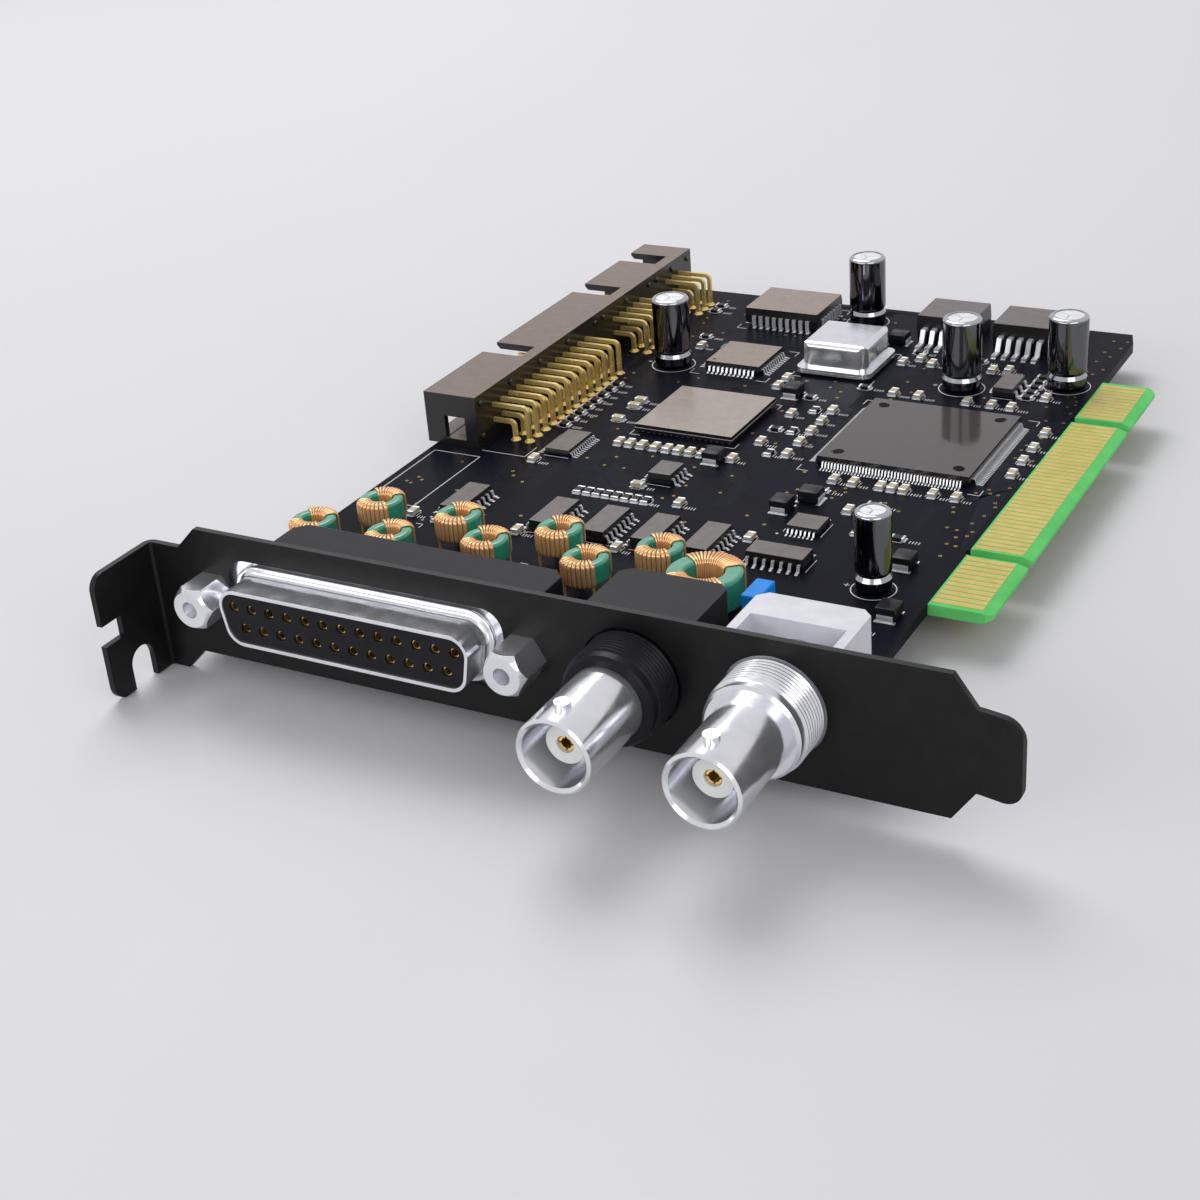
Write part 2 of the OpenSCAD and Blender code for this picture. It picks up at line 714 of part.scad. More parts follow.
module bnc_in_housing() {
    color("#26262a") on_card() at_bnc(0) difference() {
        union() {
            bnc_box();
            bushing(sheet_t + eps);
        }
        barrel_bore();
    }
}

// The output's housing is open above the rear of the barrel
module bnc_out_housing() {
    wall = sheet_t + 1;
    top = bnc_h - bnc_z;
    color("#e8e8ee") on_card() at_bnc(1) difference() {
        bnc_box();
        barrel_bore();
        block([-pocket_w / 2, wall, top - pocket_depth], [pocket_w / 2, pocket_back, top + eps]);
    }
}

// Barrel with its two bayonet lugs, bored for the insulator
module barrel() {
    difference() {
        union() {
            turned() polygon([[0, -barrel_back], [barrel_r, -barrel_back], [barrel_r, rim_front - 0.3],
                [barrel_r - 0.3, rim_front], [0, rim_front]]);
            translate([0, lug_from_rim - rim_front, 0]) for (a = [0, 180]) rotate([0, a, 0])
                translate([0, 0, barrel_r - eps]) cylinder(h = lug_reach - barrel_r + eps, r = lug_r);
        }
        turned() polygon([[0, -barrel_back - eps], [insulator_d / 2 + fit, -barrel_back - eps],
            [insulator_d / 2 + fit, rim_front - mouth_depth], [mouth_d / 2, rim_front - mouth_depth],
            [mouth_d / 2, rim_front - 0.35], [mouth_d / 2 + 0.35, rim_front + 0.01],
            [0, rim_front + 0.01]]);
    }
}

module bnc_in_barrel() {
    color("#d5d8dc") on_card() at_bnc(0) barrel();
}

// The output's barrel and bushing are turned from one bar
module bnc_out_barrel() {
    color("#d5d8dc") on_card() at_bnc(1) {
        barrel();
        difference() {
            bushing(sheet_t);
            turned() translate([0, -sheet_t - eps])
                square([barrel_r - eps, bushing_front + sheet_t + 2 * eps]);
        }
    }
}

module bnc_insulator() {
    front = rim_front - insulator_recess;
    turned() polygon([[contact_r + fit, -contact_back], [insulator_d / 2, -contact_back],
        [insulator_d / 2, front], [contact_r + fit, front]]);
}

module bnc_in_insulator() {
    color("#f4f4f0") on_card() at_bnc(0) bnc_insulator();
}

module bnc_out_insulator() {
    color("#f4f4f0") on_card() at_bnc(1) bnc_insulator();
}

// Slotted female contact
module bnc_contact() {
    front = rim_front - insulator_recess - contact_recess;
    slot_w = 0.24;
    slot_l = 3;
    difference() {
        turned() polygon([[0, -contact_back], [contact_r, -contact_back], [contact_r, front - 0.15],
            [contact_r - 0.15, front], [0, front]]);
        turned() translate([0, front - 5]) square([contact_bore, 5 + eps]);
        for (a = [0, 90]) rotate([0, a, 0])
            block([-contact_r - eps, -front - eps, -slot_w / 2],
                [contact_r + eps, -front + slot_l, slot_w / 2]);
    }
}

module bnc_in_contact() {
    color("#e0b040") on_card() at_bnc(0) bnc_contact();
}

module bnc_out_contact() {
    color("#e0b040") on_card() at_bnc(1) bnc_contact();
}

// Shrouded housing that opens away from the board, with a notch and a window in each end
module header_housing(i) {
    n = header_columns[i];
    l = header_len(n);
    w = header_wall;
    b = mouth_bevel;
    hole = pin_w + 2 * fit;
    pips = n > 8 ? 5 : 3;
    floor_x = header_depth - header_base;
    first = (l - (n - 1) * pin_pitch) / 2;
    color("#2a2626") on_card() translate([header_mouth, header_y(i), 0]) {
        difference() {
            cube([header_depth, l, header_h]);
            upright(w, l - w) polygon([[-eps, w - b - eps], [b, w], [floor_x, w],
                [floor_x, header_h - w], [b, header_h - w], [-eps, header_h - w + b + eps]]);
            block([-eps, l / 2 - notch_w / 2, header_h - w - eps],
                [floor_x, l / 2 + notch_w / 2, header_h + eps]);
            block([window_in, -eps, window_low], [window_in + window_len, l + eps, window_top]);
            for (k = [0:n - 1], z = [row_low, row_top])
                translate([floor_x - eps, first + k * pin_pitch - hole / 2, z - hole / 2])
                    cube([header_base + 2 * eps, hole, hole]);
        }
        for (k = [0:pips - 1], z = [pip_inset, header_h - pip_inset])
            translate([header_depth - 0.1, pip_inset + k * (l - 2 * pip_inset) / (pips - 1), z])
                rotate([0, 90, 0]) cylinder(h = pip_h + 0.1, r = pip_r);
    }
}

// Square pin that leaves the header's back and turns down to its pad
module header_pin(z, foot) {
    h = pin_w / 2;
    r = pin_bend;
    block([pin_tip, -h, z - h], [foot - h - r, h, z + h]);
    translate([foot - h - r, h, z - h - r]) rotate([90, 0, 0]) rotate_extrude(angle = 90)
        translate([r, 0]) square([pin_w, pin_w]);
    block([foot - h, -h, 0], [foot + h, h, z - h - r]);
    translate([foot, 0, 0]) cylinder(h = pad_h, r1 = pad_r, r2 = pin_w / 2 + 0.12);
}

module header_pins(i) {
    n = header_columns[i];
    first = header_y(i) + (header_len(n) - (n - 1) * pin_pitch) / 2;
    color("#d8b65a") on_card() for (k = [0:n - 1]) translate([0, first + k * pin_pitch, 0]) {
        header_pin(row_low, foot_inner);
        header_pin(row_top, foot_outer);
    }
}

module header_26_housing() {
    header_housing(0);
}

module header_26_pins() {
    header_pins(0);
}

module header_10_housing() {
    header_housing(1);
}

module header_10_pins() {
    header_pins(1);
}

module header_6_housing() {
    header_housing(2);
}

module header_6_pins() {
    header_pins(2);
}

// Ring with rounded edges, standing on its underside
module ring(d, bore, h) {
    rotate_extrude() translate([(d + bore) / 4, h / 2]) rounded_rect((d - bore) / 2, h, core_round);
}

// Turns of one strand each that fan out round a ring's section, at both sides of its centre.
// The leads run from the outermost turns down to what the ring stands over.
module winding(d, bore, h, turns, step, gap) {
    w = strand_w;
    spread = (turns - 1) / 2 * step;
    for (side = [0, 180], i = [0:turns - 1]) rotate([0, 0, side + i * step - spread]) {
        translate([0, (d + bore) / 4, h / 2]) across(-w / 2, w / 2) difference() {
            rounded_rect((d - bore) / 2 + 2 * (w + fit), h + 2 * w, core_round + w);
            rounded_rect((d - bore) / 2 + 2 * fit, h, core_round - fit);
        }
        if (i == 0 || i == turns - 1) translate([0, d / 2 - lead_in, -gap])
            cylinder(h = gap - w / 2, r = lead_r);
    }
}

module toroid_cores() {
    color("#2f9e80") on_card() for (p = toroids) translate([p[0], p[1], core_lift])
        ring(core_d, core_bore, core_h);
}

module toroid_windings() {
    color("#c87a3c") on_card() for (p = toroids) translate([p[0], p[1], core_lift])
        winding(core_d, core_bore, core_h, turns, turn_step, core_lift);
}

module large_toroid_core() {
    color("#2f9e80") on_card() translate([big_toroid[0], big_toroid[1], big_lift])
        ring(big_core_d, big_core_bore, big_core_h);
}

module large_toroid_winding() {
    color("#c87a3c") on_card() translate([big_toroid[0], big_toroid[1], big_lift])
        winding(big_core_d, big_core_bore, big_core_h, big_turns, big_turn_step, big_gap);
}

module large_toroid_base() {
    color("#1e1e20") on_card() translate([big_toroid[0], big_toroid[1], 0])
        linear_extrude(big_base_t) rounded_rect(big_base, big_base, 1);
}

// Outline of a can as radius and height, with its neck groove and rounded rim
module can_profile(r, top) {
    z = cap_lift + cap_neck_z;
    polygon([[0, cap_lift], [r - 0.3, cap_lift], [r, cap_lift + 0.4], [r, z - 0.6], [r - cap_neck, z],
        [r, z + 0.6], [r, top - cap_round], [r - cap_round, top], [0, top]]);
    translate([r - cap_round, top - cap_round]) circle(cap_round);
}

module capacitor_cans() {
    color("#cdd0d4") on_card() for (c = capacitors) translate([c[0], c[1], 0]) let (r = c[2] / 2 - sleeve_t)
        difference() {
            rotate_extrude() can_profile(r, c[3]);
            translate([0, 0, cap_lift - eps]) cylinder(h = bung_t + eps, r = r - 0.4);
            for (a = [30, 150, 270]) rotate([0, 0, a])
                block([0, -0.1, c[3] - 0.15], [r - 1.1, 0.1, c[3] + eps]);
        }
}

module capacitor_sleeves() {
    color("#17181c") on_card() for (c = capacitors) translate([c[0], c[1], 0]) let (r = c[2] / 2 - sleeve_t)
        difference() {
            rotate_extrude() difference() {
                can_profile(r + sleeve_t, c[3] + sleeve_t);
                can_profile(r, c[3]);
                translate([0, -eps]) square([r - 0.5, cap_lift + cap_neck_z]);
                translate([0, c[3] - 1]) square([r - 0.65, 2]);
            }
        }
}

module capacitor_bungs() {
    color("#303034") on_card() for (c = capacitors) translate([c[0], c[1], cap_lift + 0.1])
        cylinder(h = bung_t - 0.1, r = c[2] / 2 - sleeve_t - 0.4 - fit);
}

module capacitor_leads() {
    color("#b9bcc0") on_card() for (c = capacitors, s = [-1, 1])
        translate([c[0] + s * cap_lead_pitch / 2, c[1], 0]) cylinder(h = cap_lift + 0.1, r = cap_lead_r);
}

// Moulded body whose sides lean in above and below its widest line
module chip_body(l, w, z0, z1) {
    lean = 0.12;
    mid = (z0 + z1) / 2;
    intersection() {
        upright(-w / 2, w / 2) polygon([[-l / 2 + lean, z0], [l / 2 - lean, z0], [l / 2, mid],
            [l / 2 - lean, z1], [-l / 2 + lean, z1], [-l / 2, mid]]);
        across(-l / 2, l / 2) polygon([[-w / 2 + lean, z0], [w / 2 - lean, z0], [w / 2, mid],
            [w / 2 - lean, z1], [-w / 2 + lean, z1], [-w / 2, mid]]);
    }
}

// One side's gull-wing leads, which leave a body face at y = 0 and reach out along +Y
module gull_leads(n, pitch, w, reach, z, t) {
    knee = reach * 0.32;
    heel = reach * 0.55;
    for (i = [0:n - 1]) let (x = (i - (n - 1) / 2) * pitch) across(x - w / 2, x + w / 2)
        polygon([[0, z - t / 2], [knee - t * 0.4, z - t / 2], [heel - t * 0.6, 0], [reach, 0],
            [reach, t], [heel, t], [knee, z + t / 2], [0, z + t / 2]]);
}

module leads_on_two_sides(gap, n, pitch, w, reach, z, t) {
    for (a = [0, 180]) rotate([0, 0, a]) translate([0, gap / 2, 0]) gull_leads(n, pitch, w, reach, z, t);
}

module leads_on_four_sides(gap, n, pitch, w, reach, z, t) {
    for (a = [0, 90]) rotate([0, 0, a]) leads_on_two_sides(gap, n, pitch, w, reach, z, t);
}

module grid_chip_body() {
    half = grid_side / 2;
    color("#8f8a86") on_card() translate([grid_at[0], grid_at[1], 0]) {
        block([-half, -half, 0.4], [half, half, 0.95]);
        block([-half + 0.12, -half + 0.12, 0.9], [half - 0.12, half - 0.12, 1.55]);
    }
}

module grid_chip_balls() {
    n = 16;
    color("#b9bcc0") on_card() translate([grid_at[0], grid_at[1], 0]) for (i = [0:n - 1], j = [0:n - 1])
        if (min(i, j, n - 1 - i, n - 1 - j) < 4)
            translate([i - (n - 1) / 2, j - (n - 1) / 2, 0]) cylinder(h = 0.4, r = 0.27, $fn = 8);
}

module bus_chip_body() {
    dot = bus_side / 2 - 2.3;
    color("#5c5754") on_card() translate([bus_at[0], bus_at[1], 0]) difference() {
        chip_body(bus_side, bus_side, 0.15, 1.6);
        for (x = [-dot, dot], y = [-dot, dot]) translate([x, y, 1.5]) cylinder(h = 1, r = 0.75);
    }
}

module bus_chip_leads() {
    color("#c4c6ca") on_card() translate([bus_at[0], bus_at[1], 0])
        leads_on_four_sides(bus_side, 44, 0.5, 0.22, 1.3, 0.87, 0.14);
}

module logic_chip_body() {
    color("#6b6562") on_card() translate([logic_at[0], logic_at[1], 0]) difference() {
        chip_body(logic_side, logic_side, 0.12, 1.6);
        translate([-logic_side / 2 + 1.2, -logic_side / 2 + 1.2, 1.5]) cylinder(h = 1, r = 0.35);
    }
}

module logic_chip_leads() {
    color("#c4c6ca") on_card() translate([logic_at[0], logic_at[1], 0])
        leads_on_four_sides(logic_side, 11, 0.8, 0.36, 1.2, 0.86, 0.14);
}

// Chip carrier whose leads fold back under the body
module memory_chip_body() {
    color("#6b6360") on_card() translate([memory_at[0], memory_at[1], 0])
        chip_body(memory_size[0], memory_size[1], 0.7, memory_h);
}

module folded_leads(n, gap) {
    for (a = [0, 180]) rotate([0, 0, a]) translate([0, gap / 2, 0]) for (i = [0:n - 1])
        let (x = (i - (n - 1) / 2) * memory_pitch) across(x - 0.33, x + 0.33)
            polygon([[0, 2], [0.15, 2], [0.15, 0.5], [-0.1, 0.25], [-0.55, 0.25], [-0.55, 0],
                [0.05, 0], [0.4, 0.35], [0.4, 2.2], [0, 2.2]]);
}

module memory_chip_leads() {
    color("#c4c6ca") on_card() translate([memory_at[0], memory_at[1], 0]) {
        folded_leads(9, memory_size[1]);
        rotate([0, 0, 90]) folded_leads(7, memory_size[0]);
    }
}

module each_driver() {
    for (p = drivers) translate([p[0], p[1], 0]) rotate([0, 0, 90]) children();
    translate([cross_driver[0], cross_driver[1], 0]) children();
}

module line_driver_bodies() {
    color("#57534f") on_card() each_driver() chip_body(driver_len, driver_w, 0.15, 1.75);
}

module line_driver_leads() {
    color("#c4c6ca") on_card() each_driver() leads_on_two_sides(driver_w, 7, 1.27, 0.42, 1.1, 0.95, 0.2);
}

module buffer_chip_bodies() {
    color("#57534f") on_card() {
        translate([buffer_at[0], buffer_at[1], 0]) rotate([0, 0, 90])
            chip_body(buffer_lens[0], buffer_w, 0.1, 1.1);
        translate([short_buffer_at[0], short_buffer_at[1], 0])
            chip_body(buffer_lens[1], buffer_w, 0.1, 1.1);
    }
}

module buffer_chip_leads() {
    color("#c4c6ca") on_card() {
        translate([buffer_at[0], buffer_at[1], 0]) rotate([0, 0, 90])
            leads_on_two_sides(buffer_w, 12, 0.65, 0.25, 1, 0.6, 0.12);
        translate([short_buffer_at[0], short_buffer_at[1], 0])
            leads_on_two_sides(buffer_w, 7, 0.65, 0.25, 1, 0.6, 0.12);
    }
}

module small_chip_bodies() {
    color("#6b6562") on_card() {
        translate([amplifier_at[0], amplifier_at[1], 0]) rotate([0, 0, 90])
            chip_body(amplifier_len, driver_w, 0.15, 1.75);
        translate([small_regulator_at[0], small_regulator_at[1], 0]) rotate([0, 0, 90])
            chip_body(small_regulator_size[0], small_regulator_size[1], 0.08, small_regulator_h);
    }
}

module small_chip_leads() {
    color("#c4c6ca") on_card() {
        translate([amplifier_at[0], amplifier_at[1], 0]) rotate([0, 0, 90])
            leads_on_two_sides(driver_w, 4, 1.27, 0.42, 1.1, 0.95, 0.2);
        translate([small_regulator_at[0], small_regulator_at[1], 0]) {
            edge = small_regulator_size[1] / 2;
            rotate([0, 0, -90]) translate([0, edge, 0]) gull_leads(3, 2.3, 0.7, 0.85, 0.87, 0.26);
            rotate([0, 0, 90]) translate([0, edge, 0]) gull_leads(1, 1, 3, 0.9, 0.87, 0.26);
        }
    }
}

module each_regulator() {
    for (p = regulators) translate([p[0], p[1], 0]) children();
}

// Metal tab under a regulator's far side, from a distance inside to a distance outside the body
module regulator_tab(outside, low) {
    half = regulator_w / 2 - 0.6;
    edge = regulator_d / 2;
    block([-half, edge - 3.4, low], [half, edge + outside, 1.27]);
}

module regulator_bodies() {
    color("#4e4a47") on_card() each_regulator() difference() {
        chip_body(regulator_w, regulator_d, 0, regulator_h);
        regulator_tab(eps, -eps);
    }
}

module regulator_tabs() {
    color("#b9bcc0") on_card() each_regulator() regulator_tab(1.4, 0);
}

module regulator_leads() {
    color("#c4c6ca") on_card() each_regulator() rotate([0, 0, 180]) translate([0, regulator_d / 2, 0])
        gull_leads(5, 1.7, 0.8, 4.4, 2.25, 0.5);
}

// Side view of the can, from its flange up to its rounded top
module can_side_view(side) {
    h = oscillator_h - oscillator_base_h;
    translate([0, oscillator_base_h]) {
        translate([-side / 2, 0]) square([side, h - can_round]);
        translate([-side / 2 + can_round, 0]) square([side - 2 * can_round, h]);
        for (s = [-1, 1]) translate([s * (side / 2 - can_round), h - can_round]) circle(can_round);
    }
}

module oscillator_can() {
    side = oscillator_side - 1.8;
    color("#d8dade") on_card() translate([oscillator_at[0], oscillator_at[1], 0]) {
        intersection() {
            linear_extrude(oscillator_h) rounded_rect(side, side, 1.6);
            upright(-side / 2, side / 2) can_side_view(side);
            across(-side / 2, side / 2) can_side_view(side);
        }
        translate([0, 0, oscillator_base_h]) linear_extrude(0.4)
            rounded_rect(oscillator_side, oscillator_side, 1.6);
    }
}

module oscillator_base() {
    side = oscillator_side;
    color("#b9bcc0") on_card() translate([oscillator_at[0], oscillator_at[1], 0]) {
        translate([0, 0, oscillator_base_h / 2]) linear_extrude(oscillator_base_h / 2)
            rounded_rect(side, side, 1.6);
        for (x = [-1, 1], y = [-1, 1]) translate([x * 3.81, y * 3.81, 0]) cylinder(h = 0.6, r = 0.8);
    }
}

module at_jumper() {
    translate([jumper_at[0], jumper_at[1], 0]) children();
}

module jumper_base() {
    half = pin_pitch / 2;
    hole = pin_w + 2 * fit;
    color("#1e1e20") on_card() at_jumper() difference() {
        block([-half, -2 * half, 0], [half, 2 * half, pin_pitch]);
        for (s = [-1, 1]) translate([0, s * half, half]) cube([hole, hole, pin_pitch + eps], center = true);
    }
}

module jumper_pins() {
    pin_h = pin_pitch + jumper_h - 1.6;
    color("#d8b65a") on_card() at_jumper() for (s = [-1, 1])
        translate([-pin_w / 2, s * pin_pitch / 2 - pin_w / 2, 0]) cube([pin_w, pin_w, pin_h]);
}

module jumper_cap() {
    hole = pin_w + 4 * fit;
    corner = [jumper_w / 2, jumper_l / 2, pin_pitch + jumper_h];
    color("#1f7fe0") on_card() at_jumper() difference() {
        block([-corner[0], -corner[1], pin_pitch], corner);
        for (s = [-1, 1]) translate([-hole / 2, s * pin_pitch / 2 - hole / 2, pin_pitch - eps])
            cube([hole, hole, jumper_h - 1.5 + eps]);
    }
}

// Small block with a wrapped end at each side
module chip(l, w, h) {
    step = 0.04;
    block([-l / 2 + step, -w / 2 + step, step], [l / 2 - step, w / 2 - step, h - step]);
    for (s = [-1, 1]) translate([s * (l - end_wrap) / 2, 0, h / 2]) cube([end_wrap, w, h], center = true);
}

module each_chip(places) {
    for (p = places) translate([p[0], p[1], 0]) rotate([0, 0, p[2] * 90]) children();
}

module chip_capacitors() {
    color("#b8a98a") on_card() each_chip(cap_rows) chip(chip_l, chip_w, chip_cap_h);
}

module chip_resistors() {
    color("#1c1c1e") on_card() each_chip(resistor_rows) chip(chip_l, chip_w, chip_res_h);
}

module moulded_capacitors() {
    color("#2c2a28") on_card() each_chip(moulded_at) {
        chip_body(moulded_l - 0.3, moulded_w, 0.1, moulded_h);
        for (s = [-1, 1]) translate([s * (moulded_l / 2 - 0.4), 0, 0])
            block([-0.4, -1.1, 0], [0.4, 1.1, 0.2]);
        for (s = [-1, 1]) translate([s * (moulded_l / 2 - 0.1), 0, 0])
            block([-0.1, -1.1, 0], [0.1, 1.1, moulded_h / 2]);
    }
}

module solder_joint() {
    translate([0, 0, -board_t - joint_h]) cylinder(h = joint_h, r1 = joint_tip, r2 = joint_r);
}

// Joints under every lead that passes through the board
module solder_joints() {
    lead_a = (turns - 1) / 2 * turn_step;
    color("#b9bcc0") on_card() {
        for (i = [0:12]) translate([dsub_x + (i - 6) * dsub_pitch, tail_far, 0]) solder_joint();
        for (i = [0:11]) translate([dsub_x + (i - 5.5) * dsub_pitch, tail_near, 0]) solder_joint();
        for (x = bnc_x, p = bnc_pins) translate([x + p[0], p[1], 0]) solder_joint();
        for (i = [0:2], k = [0:header_columns[i] - 1], x = [foot_inner, foot_outer])
            translate([x, header_y(i) + (header_ends + pin_pitch) / 2 + k * pin_pitch, 0]) solder_joint();
        for (c = capacitors, s = [-1, 1])
            translate([c[0] + s * cap_lead_pitch / 2, c[1], 0]) solder_joint();
        for (p = toroids, a = [lead_a, 180 - lead_a, 180 + lead_a, -lead_a])
            translate([p[0], p[1], 0]) rotate([0, 0, a])
                translate([0, core_d / 2 - lead_in, 0]) solder_joint();
        for (x = [-1, 1], y = [-1, 1]) {
            translate([big_toroid[0] + x * 4, big_toroid[1] + y * 4, 0]) solder_joint();
            translate([oscillator_at[0] + x * 3.81, oscillator_at[1] + y * 3.81, 0]) solder_joint();
        }
        for (s = [-1, 1]) translate([jumper_at[0], jumper_at[1] + s * pin_pitch / 2, 0]) solder_joint();
    }
}

slot_bracket();
circuit_board();
edge_contacts();
dsub_shell();
dsub_socket_block();
dsub_contacts();
dsub_rear_housing();
dsub_mounting_plate();
jack_screws();
bnc_in_housing();
bnc_in_barrel();
bnc_in_insulator();
bnc_in_contact();
bnc_out_housing();
bnc_out_barrel();
bnc_out_insulator();
bnc_out_contact();
header_26_housing();
header_26_pins();
header_10_housing();
header_10_pins();
header_6_housing();
header_6_pins();
toroid_cores();
toroid_windings();
large_toroid_core();
large_toroid_winding();
large_toroid_base();
capacitor_cans();
capacitor_sleeves();
capacitor_bungs();
capacitor_leads();
grid_chip_body();
grid_chip_balls();
bus_chip_body();
bus_chip_leads();
logic_chip_body();
logic_chip_leads();
memory_chip_body();
memory_chip_leads();
line_driver_bodies();
line_driver_leads();
buffer_chip_bodies();
buffer_chip_leads();
small_chip_bodies();
small_chip_leads();
regulator_bodies();
regulator_tabs();
regulator_leads();
oscillator_can();
oscillator_base();
jumper_base();
jumper_pins();
jumper_cap();
chip_capacitors();
chip_resistors();
moulded_capacitors();
solder_joints();
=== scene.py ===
import math
import random

import bmesh
import bpy
from mathutils import Matrix, Vector


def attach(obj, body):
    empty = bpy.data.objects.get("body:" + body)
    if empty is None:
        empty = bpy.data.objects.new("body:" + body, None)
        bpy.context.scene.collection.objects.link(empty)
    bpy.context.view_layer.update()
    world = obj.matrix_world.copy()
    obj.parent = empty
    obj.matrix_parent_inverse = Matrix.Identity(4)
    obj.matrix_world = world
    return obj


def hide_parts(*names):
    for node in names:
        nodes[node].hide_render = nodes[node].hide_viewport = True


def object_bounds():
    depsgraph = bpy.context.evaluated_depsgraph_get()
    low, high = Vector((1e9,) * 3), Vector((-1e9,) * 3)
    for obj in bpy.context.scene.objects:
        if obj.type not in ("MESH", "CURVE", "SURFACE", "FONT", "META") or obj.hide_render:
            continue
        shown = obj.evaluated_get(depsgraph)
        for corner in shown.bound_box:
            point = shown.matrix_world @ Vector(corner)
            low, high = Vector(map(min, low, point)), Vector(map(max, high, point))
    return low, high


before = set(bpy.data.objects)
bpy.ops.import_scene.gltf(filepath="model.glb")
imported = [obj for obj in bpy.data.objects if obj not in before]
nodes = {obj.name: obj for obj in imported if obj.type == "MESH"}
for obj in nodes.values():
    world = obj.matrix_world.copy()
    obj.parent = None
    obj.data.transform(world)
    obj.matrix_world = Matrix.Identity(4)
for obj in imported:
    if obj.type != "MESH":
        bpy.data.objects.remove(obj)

scene = bpy.context.scene
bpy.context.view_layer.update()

# Card coordinates in millimetres: along the bracket, behind its face, above the board.
# SHOULDER is where the tongue of the edge connector starts.
TO_FACE, TAB_MID = 5.35, 3.22
BOARD_T = 1.57
SHOULDER = 92.0


def card(a, b, h):
    return Vector((a, b + TO_FACE, h - TAB_MID)) / 1000


# Camera, set on the photograph's view of the bracket, sockets and board
FWD = Vector((-0.45145, 0.761486, -0.465115))
RIGHT = Vector((0.876797, 0.475308, -0.072863))
DOWN = Vector((0.165589, -0.440706, -0.882247))
cam_data = bpy.data.cameras.new("camera")
cam = bpy.data.objects.new("camera", cam_data)
scene.collection.objects.link(cam)
scene.camera = cam
SENSOR, FOCAL_PIXELS, PHOTO_PIXELS = 36, 1988.67, 1200
cam_data.sensor_width = SENSOR
cam_data.lens = SENSOR * FOCAL_PIXELS / PHOTO_PIXELS
cam_data.clip_start, cam_data.clip_end = 0.01, 20
turn = Matrix((RIGHT, -DOWN, -FWD)).transposed().to_4x4()
cam.matrix_world = Matrix.Translation(card(171.9, -174.99, 123.4)) @ turn


# Materials
class Maker:
    """Builds one node material: m.add("ShaderNodeX", key=value) and m.link(a, "Out", b, "In")."""

    def __init__(self, name, color, rough, metal=0.0, **sockets):
        self.mat = bpy.data.materials.new(name)
        self.mat.use_nodes = True
        self.tree = self.mat.node_tree
        self.tree.nodes.clear()
        self.out = self.add("ShaderNodeOutputMaterial")
        self.bsdf = self.add("ShaderNodeBsdfPrincipled")
        self.link(self.bsdf, "BSDF", self.out, "Surface")
        self.set(self.bsdf, "Base Color", (*color, 1))
        self.set(self.bsdf, "Roughness", rough)
        self.set(self.bsdf, "Metallic", metal)
        for k, v in sockets.items():
            self.set(self.bsdf, k.replace("_", " "), v)
        self.coord = self.add("ShaderNodeTexCoord")

    def add(self, kind, **props):
        n = self.tree.nodes.new(kind)
        for k, v in props.items():
            setattr(n, k, v)
        return n

    def set(self, node, socket, value):
        node.inputs[socket].default_value = value

    def link(self, a, o, b, i):
        self.tree.links.new(a.outputs[o], b.inputs[i])

    def noise(self, scale, detail=3.0):
        n = self.add("ShaderNodeTexNoise")
        self.link(self.coord, "Object", n, "Vector")
        self.set(n, "Scale", scale)
        self.set(n, "Detail", detail)
        return n

    def remap(self, src, out, low, high, a=0.0, b=1.0):
        n = self.add("ShaderNodeMapRange")
        self.link(src, out, n, "Value")
        for k, v in (("From Min", a), ("From Max", b), ("To Min", low), ("To Max", high)):
            self.set(n, k, v)
        return n

    def vary(self, color, other, scale, a=0.35, b=0.65):
        """Base colour that wanders between two colours."""
        f = self.remap(self.noise(scale), "Fac", 0, 1, a, b)
        self.color(self.mix(f, color, other))

    def color(self, node):
        self.link(node, "Result", self.bsdf, "Base Color")

    def mix(self, factor, color, other):
        """Mixes two colours, or the results of two mixes, by a Map Range node."""
        m = self.add("ShaderNodeMix", data_type="RGBA")
        self.link(factor, "Result", m, "Factor")
        for socket, c in (("A", color), ("B", other)):
            if isinstance(c, bpy.types.Node):
                self.link(c, "Result", m, socket)
            else:
                self.set(m, socket, (*c, 1))
        return m

    def paint_top_light(self, top, side, a=0.55, b=0.85):
        """Painted light: one colour where the surface faces up and another on its sides."""
        sep = self.add("ShaderNodeSeparateXYZ")
        self.link(self.coord, "Normal", sep, "Vector")
        self.color(self.mix(self.remap(sep, "Z", 0, 1, a, b), side, top))

    def rough(self, low, high, scale, a=0.3, b=0.7):
        f = self.remap(self.noise(scale, 5), "Fac", low, high, a, b)
        self.link(f, "Result", self.bsdf, "Roughness")

    def grain(self, scale, distance):
        """Fine bump; distance in metres."""
        n = self.add("ShaderNodeBump")
        self.set(n, "Distance", distance)
        self.set(n, "Strength", 1.0)
        self.link(self.noise(scale, 2.0), "Fac", n, "Height")
        self.link(n, "Normal", self.bsdf, "Normal")


def moulded(name, color, other, rough, grain=1800, depth=0.00001, spec=0.5):
    m = Maker(name, color, rough, Specular_IOR_Level=spec)
    m.vary(color, other, 420)
    m.rough(rough - 0.02, rough + 0.04, 700)
    m.grain(grain, depth)
    return m.mat


def plated(name, color, other, rough, spots=260, metal=1.0):
    m = Maker(name, color, rough, metal)
    m.vary(color, other, spots)
    m.rough(max(0.02, rough - 0.04), rough + 0.08, 420)
    m.grain(900, 0.000002)
    return m.mat


def painted_sheen_top(name, top, top_other, side, rough, spec=0.5):
    """Moulded plastic with a painted sheen: the top face is painted paler than its sides, standing in for the
    reflection of a warm light.
    """
    m = Maker(name, top, rough, Specular_IOR_Level=spec)
    f = m.remap(m.noise(700, 4), "Fac", 0, 1, 0.3, 0.7)
    m.paint_top_light(m.mix(f, top, top_other), side)
    m.rough(rough - 0.02, rough + 0.03, 900)
    m.grain(2400, 0.000004)
    return m.mat


